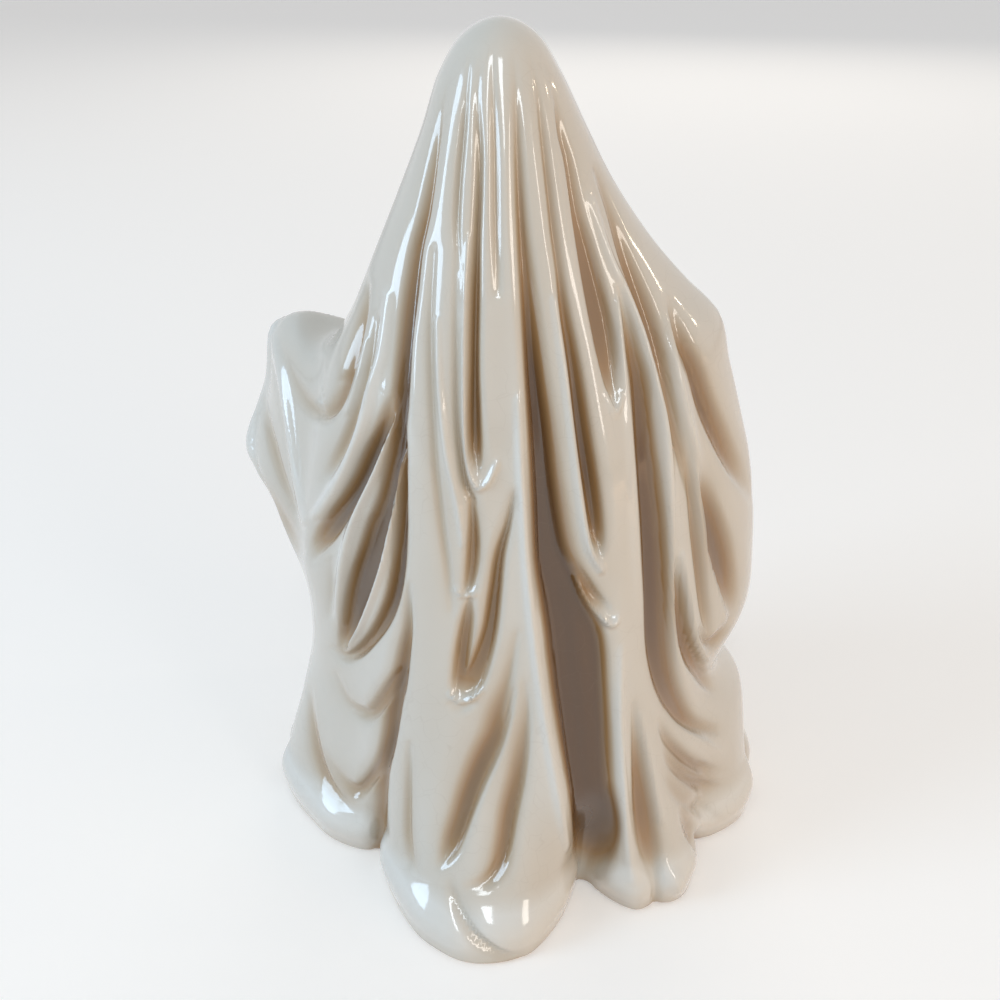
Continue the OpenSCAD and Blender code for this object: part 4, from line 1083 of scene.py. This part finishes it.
def glaze_colour_group():
    """Colour of the pooled glaze, with painted shade in the hollows and a painted lighter tone on the
    ridges, from the hollow attribute, with faint clouds.
    """
    group, start, end = new_group(
        "pooled_glaze_and_painted_shade", [("Cloud Scale", "NodeSocketFloat", 30.0)], [("Colour", "NodeSocketColor")])
    link = group.links.new
    hollow_in = add_node(group, "ShaderNodeAttribute", attribute_name="hollow")
    place = add_node(group, "ShaderNodeTexCoord")
    clouds = add_node(group, "ShaderNodeTexNoise", Detail=3.0, Roughness=0.5)
    link(place.outputs["Object"], clouds.inputs["Vector"])
    link(start.outputs["Cloud Scale"], clouds.inputs["Scale"])
    spread = add_node(group, "ShaderNodeMapRange")
    spread.inputs["To Min"].default_value = -0.06
    spread.inputs["To Max"].default_value = 0.06
    link(clouds.outputs["Fac"], spread.inputs["Value"])
    total = math_of(group, "ADD", hollow_in.outputs["Fac"], spread.outputs["Result"])
    shifted = add_node(group, "ShaderNodeMapRange")
    shifted.inputs["From Min"].default_value = -0.3
    shifted.inputs["From Max"].default_value = 1.0
    link(total, shifted.inputs["Value"])
    tones = ramp(group, GLAZE_TONES)
    link(shifted.outputs["Result"], tones.inputs["Fac"])
    link(tones.outputs["Color"], end.inputs["Colour"])
    return group


glaze_colours = glaze_colour_group()
print(glaze_colours.name, len(glaze_colours.nodes), "nodes")

# %% [markdown]
# ## Flaws in the glaze
#
# Crazing is a net of hair-thin cracks, from glaze that shrank more than the clay, and a pinhole is a
# burst bubble. The edges between Voronoi cells give the net, a noise bends it and keeps it to
# patches, and the middles of a few cells of a second Voronoi texture give the pinholes.

# %% Glaze flaw group
FLAW_TINT = (0.20, 0.13, 0.08)


def glaze_flaw_group():
    """Mask of hair-thin crazing lines and of a few pinholes, where the glaze shows darker."""
    group, start, end = new_group(
        "glaze_flaws",
        [("Craze Scale", "NodeSocketFloat", 150.0), ("Craze Strength", "NodeSocketFloat", 0.08),
         ("Pinhole Scale", "NodeSocketFloat", 48.0), ("Pinhole Strength", "NodeSocketFloat", 0.75)],
        [("Mask", "NodeSocketFloat")])
    link = group.links.new
    place = add_node(group, "ShaderNodeTexCoord")
    wander = add_node(group, "ShaderNodeTexNoise", Scale=60.0, Detail=2.0)
    link(place.outputs["Object"], wander.inputs["Vector"])
    bent = add_node(group, "ShaderNodeMix", data_type="VECTOR")
    bent.inputs["Factor"].default_value = 0.012
    link(place.outputs["Object"], bent.inputs[4])
    link(wander.outputs["Color"], bent.inputs[5])
    cells = add_node(group, "ShaderNodeTexVoronoi", feature="DISTANCE_TO_EDGE")
    link(bent.outputs[1], cells.inputs["Vector"])
    link(start.outputs["Craze Scale"], cells.inputs["Scale"])
    line = ramp(group, [(0.0, (1.0,)), (0.022, (0.0,))])
    link(cells.outputs["Distance"], line.inputs["Fac"])
    patches = add_node(group, "ShaderNodeTexNoise", Scale=22.0, Detail=1.0)
    link(place.outputs["Object"], patches.inputs["Vector"])
    where = ramp(group, [(0.42, (0.1,)), (0.6, (1.0,))])
    link(patches.outputs["Fac"], where.inputs["Fac"])
    crazing = math_of(group, "MULTIPLY", line.outputs["Color"], where.outputs["Color"])
    faint = math_of(group, "MULTIPLY", crazing, start.outputs["Craze Strength"])
    dots = add_node(group, "ShaderNodeTexVoronoi")
    link(place.outputs["Object"], dots.inputs["Vector"])
    link(start.outputs["Pinhole Scale"], dots.inputs["Scale"])
    small = ramp(group, [(0.016, (1.0,)), (0.028, (0.0,))])
    link(dots.outputs["Distance"], small.inputs["Fac"])
    few = ramp(group, [(0.86, (0.0,)), (0.88, (1.0,))])
    link(dots.outputs["Color"], few.inputs["Fac"])
    pinholes = math_of(group, "MULTIPLY", small.outputs["Color"], few.outputs["Color"])
    dark = math_of(group, "MULTIPLY", pinholes, start.outputs["Pinhole Strength"])
    link(math_of(group, "MAXIMUM", faint, dark), end.inputs["Mask"])
    return group


glaze_flaws = glaze_flaw_group()
print(glaze_flaws.name, len(glaze_flaws.nodes), "nodes")

# %% [markdown]
# ## The glazed surface
#
# The glaze is glass, so it mirrors twice: a slightly soft body under a sharp coat, which draws the
# narrow streaks. A very fine bump keeps the mirror image from being perfect.

# %% Glaze material
def glaze_material():
    """Glossy cream glaze, darker where it pools and with painted shade in the folds, lighter with painted
    light on the ridges, and darker where it has flaws.
    """
    material = bpy.data.materials.new("cream_glaze")
    material.use_nodes = True
    tree = material.node_tree
    link = tree.links.new
    shader = tree.nodes["Principled BSDF"]
    shader.inputs["Roughness"].default_value = 0.14
    shader.inputs["IOR"].default_value = 1.5
    shader.inputs["Coat Weight"].default_value = 0.8
    shader.inputs["Coat Roughness"].default_value = 0.02
    colours = add_node(tree, "ShaderNodeGroup", node_tree=glaze_colours)
    flaws = add_node(tree, "ShaderNodeGroup", node_tree=glaze_flaws)
    flawed = add_node(tree, "ShaderNodeMix", data_type="RGBA")
    link(flaws.outputs["Mask"], flawed.inputs["Factor"])
    link(colours.outputs["Colour"], flawed.inputs[6])
    flawed.inputs[7].default_value = (*FLAW_TINT, 1)
    link(flawed.outputs[2], shader.inputs["Base Color"])
    place = add_node(tree, "ShaderNodeTexCoord")
    pebble = add_node(tree, "ShaderNodeTexNoise", Scale=900.0, Detail=1.0)
    link(place.outputs["Object"], pebble.inputs["Vector"])
    bump = add_node(tree, "ShaderNodeBump", Strength=0.12, Distance=0.0001)
    link(pebble.outputs["Fac"], bump.inputs["Height"])
    link(bump.outputs["Normal"], shader.inputs["Normal"])
    return material


cream_glaze = glaze_material()
print(cream_glaze.name, "made")

# %% [markdown]
# ## Bare clay
#
# The inside, the seams and the floor slab are never glazed. Fired clay without glaze is matt and
# slightly grainy, and a little darker than the glaze.

# %% Bare clay
def bisque_material():
    """Matt fired clay with a fine grain."""
    material = bpy.data.materials.new("bare_bisque")
    material.use_nodes = True
    tree = material.node_tree
    link = tree.links.new
    shader = tree.nodes["Principled BSDF"]
    shader.inputs["Roughness"].default_value = 0.85
    place = add_node(tree, "ShaderNodeTexCoord")
    grain = add_node(tree, "ShaderNodeTexNoise", Scale=260.0, Detail=4.0)
    link(place.outputs["Object"], grain.inputs["Vector"])
    tones = ramp(tree, [(0.3, (0.60, 0.54, 0.45)), (0.7, (0.70, 0.65, 0.56))])
    link(grain.outputs["Fac"], tones.inputs["Fac"])
    link(tones.outputs["Color"], shader.inputs["Base Color"])
    bump = add_node(tree, "ShaderNodeBump", Strength=0.25, Distance=0.0004)
    link(grain.outputs["Fac"], bump.inputs["Height"])
    link(bump.outputs["Normal"], shader.inputs["Normal"])
    return material


bare_bisque = bisque_material()
print(bare_bisque.name, "made")

# %% [markdown]
# ## Dressing the pieces
#
# Each casting takes the place of its CAD node. Its first material is the glaze and its second the
# bare clay, as the faces were marked above. The floor slab is right as the CAD model has it.

# %% Dress the castings and the floor slab
CASTINGS = {"drape_body": drape_body, "left_arm_drape": left_arm, "right_arm_drape": right_arm}
for node, piece in CASTINGS.items():
    piece.data.materials.append(cream_glaze)
    piece.data.materials.append(bare_bisque)
    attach(piece, "root")
    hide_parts(node)
floor_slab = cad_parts["base_floor"]
floor_slab.data.materials.clear()
floor_slab.data.materials.append(bare_bisque)
print("dressed", ", ".join(CASTINGS), "and base_floor")

# %% [markdown]
# ## Floor
#
# The floor is plain and pale to the eye, and in the glaze's mirror image. To the diffuse light it is
# a warm surface, which gives the folds the warm glow that pale glaze picks up from what it stands
# on. Light Path tells the two kinds of ray apart, so the floor still shows the figure's shadow.

# %% Floor
FLOOR_HALF = 8.0
FLOOR_PALE = (0.86, 0.83, 0.79)
FLOOR_WARM = (0.66, 0.46, 0.29)
FLOOR_LIFT = 0.2


def seen_directly(tree):
    """1 for rays from the camera and for mirrored or refracted ones, and 0 for diffuse ones."""
    ray = tree.nodes.new("ShaderNodeLightPath")
    mirrored = math_of(tree, "MAXIMUM", ray.outputs["Is Camera Ray"], ray.outputs["Is Glossy Ray"])
    return math_of(tree, "MAXIMUM", mirrored, ray.outputs["Is Transmission Ray"])


def stage_floor():
    """A wide flat floor that belongs to the stage and not to the figure."""
    bm = bmesh.new()
    bmesh.ops.create_grid(bm, x_segments=1, y_segments=1, size=FLOOR_HALF)
    mesh = bpy.data.meshes.new("pale_floor")
    bm.to_mesh(mesh)
    bm.free()
    floor = bpy.data.objects.new("pale_floor", mesh)
    bpy.context.scene.collection.objects.link(floor)
    material = bpy.data.materials.new("pale_floor")
    material.use_nodes = True
    tree = material.node_tree
    shader = tree.nodes["Principled BSDF"]
    shader.inputs["Roughness"].default_value = 0.6
    seen = seen_directly(tree)
    floor_colour = add_node(tree, "ShaderNodeMix", data_type="RGBA")
    floor_colour.inputs[6].default_value = (*FLOOR_WARM, 1)
    floor_colour.inputs[7].default_value = (*FLOOR_PALE, 1)
    tree.links.new(seen, floor_colour.inputs["Factor"])
    tree.links.new(floor_colour.outputs[2], shader.inputs["Base Color"])
    tree.links.new(math_of(tree, "MULTIPLY", seen, FLOOR_LIFT), shader.inputs["Emission Strength"])
    shader.inputs["Emission Color"].default_value = (1, 1, 1, 1)
    mesh.materials.append(material)
    return floor


print(stage_floor().name, 2 * FLOOR_HALF, "m wide")

# %% [markdown]
# ## Light
#
# Plain studio light, with lamps the shape of windows because a glaze mirrors what lights it. A tall
# narrow one above the camera draws the long streaks on the flutes, a cool one stands on the left of
# the picture, and two small ones on the right give the short gleams there. Two more stand for light
# off the walls, on the face's side and low on the right, and the glaze doesn't mirror them.

# %% Lights
def area_light(name, place, target, size, power, colour=(1, 1, 1)):
    """A soft rectangular light at a place, turned to a target, in metres and watts."""
    data = bpy.data.lights.new(name, "AREA")
    data.shape = "RECTANGLE"
    data.size, data.size_y = size
    data.energy = power
    data.color = colour
    light = bpy.data.objects.new(name, data)
    bpy.context.scene.collection.objects.link(light)
    light.location = place
    light.rotation_euler = (Vector(target) - Vector(place)).to_track_quat("-Z", "Y").to_euler()
    return light


area_light("window", (0.12, 1.5, 1.5), (0, 0, 0.15), (0.4, 1.3), 12.6, (0.85, 0.94, 1.0))
area_light("left_window", (1.85, 0.55, 0.8), (0, 0, 0.15), (0.8, 1.3), 20.5, (0.57, 0.78, 1.0))
area_light("right_window", (-1.25, 1.45, 0.68), (0, 0, 0.12), (0.35, 0.6), 3.7, (1.0, 0.92, 0.82))
area_light("room_lamp", (-1.85, -0.15, 0.95), (0, 0, 0.18), (0.12, 0.12), 1.0, (1.0, 0.85, 0.62))
room_behind = area_light("room_behind", (-0.4, -1.9, 1.1), (0, 0, 0.12), (1.4, 1.2), 7.2, (1.0, 0.95, 0.88))
warm_fill = area_light("warm_fill", (-1.5, 0.9, 0.35), (0, 0, 0.12), (0.8, 0.6), 7.6, (1.0, 0.64, 0.36))
warm_fill.visible_glossy = room_behind.visible_glossy = False

# %% [markdown]
# ## World
#
# The world is a plain room: a soft grey as far as its light on the figure goes, and paler where it
# is seen behind the floor or in the glaze, so the background costs the figure no shading.

# %% World
ROOM_LIGHT = (0.39, 0.40, 0.42)
ROOM_PALE = (0.86, 0.86, 0.86)
world = bpy.data.worlds.new("pale_room")
world.use_nodes = True
room = world.node_tree
room_colour = add_node(room, "ShaderNodeMix", data_type="RGBA")
room_colour.inputs[6].default_value = (*ROOM_LIGHT, 1)
room_colour.inputs[7].default_value = (*ROOM_PALE, 1)
room.links.new(seen_directly(room), room_colour.inputs["Factor"])
room.links.new(room_colour.outputs[2], room.nodes["Background"].inputs["Color"])
bpy.context.scene.world = world
bpy.context.scene.view_settings.view_transform = "Standard"
print(world.name, "lights the figure with", ROOM_LIGHT)
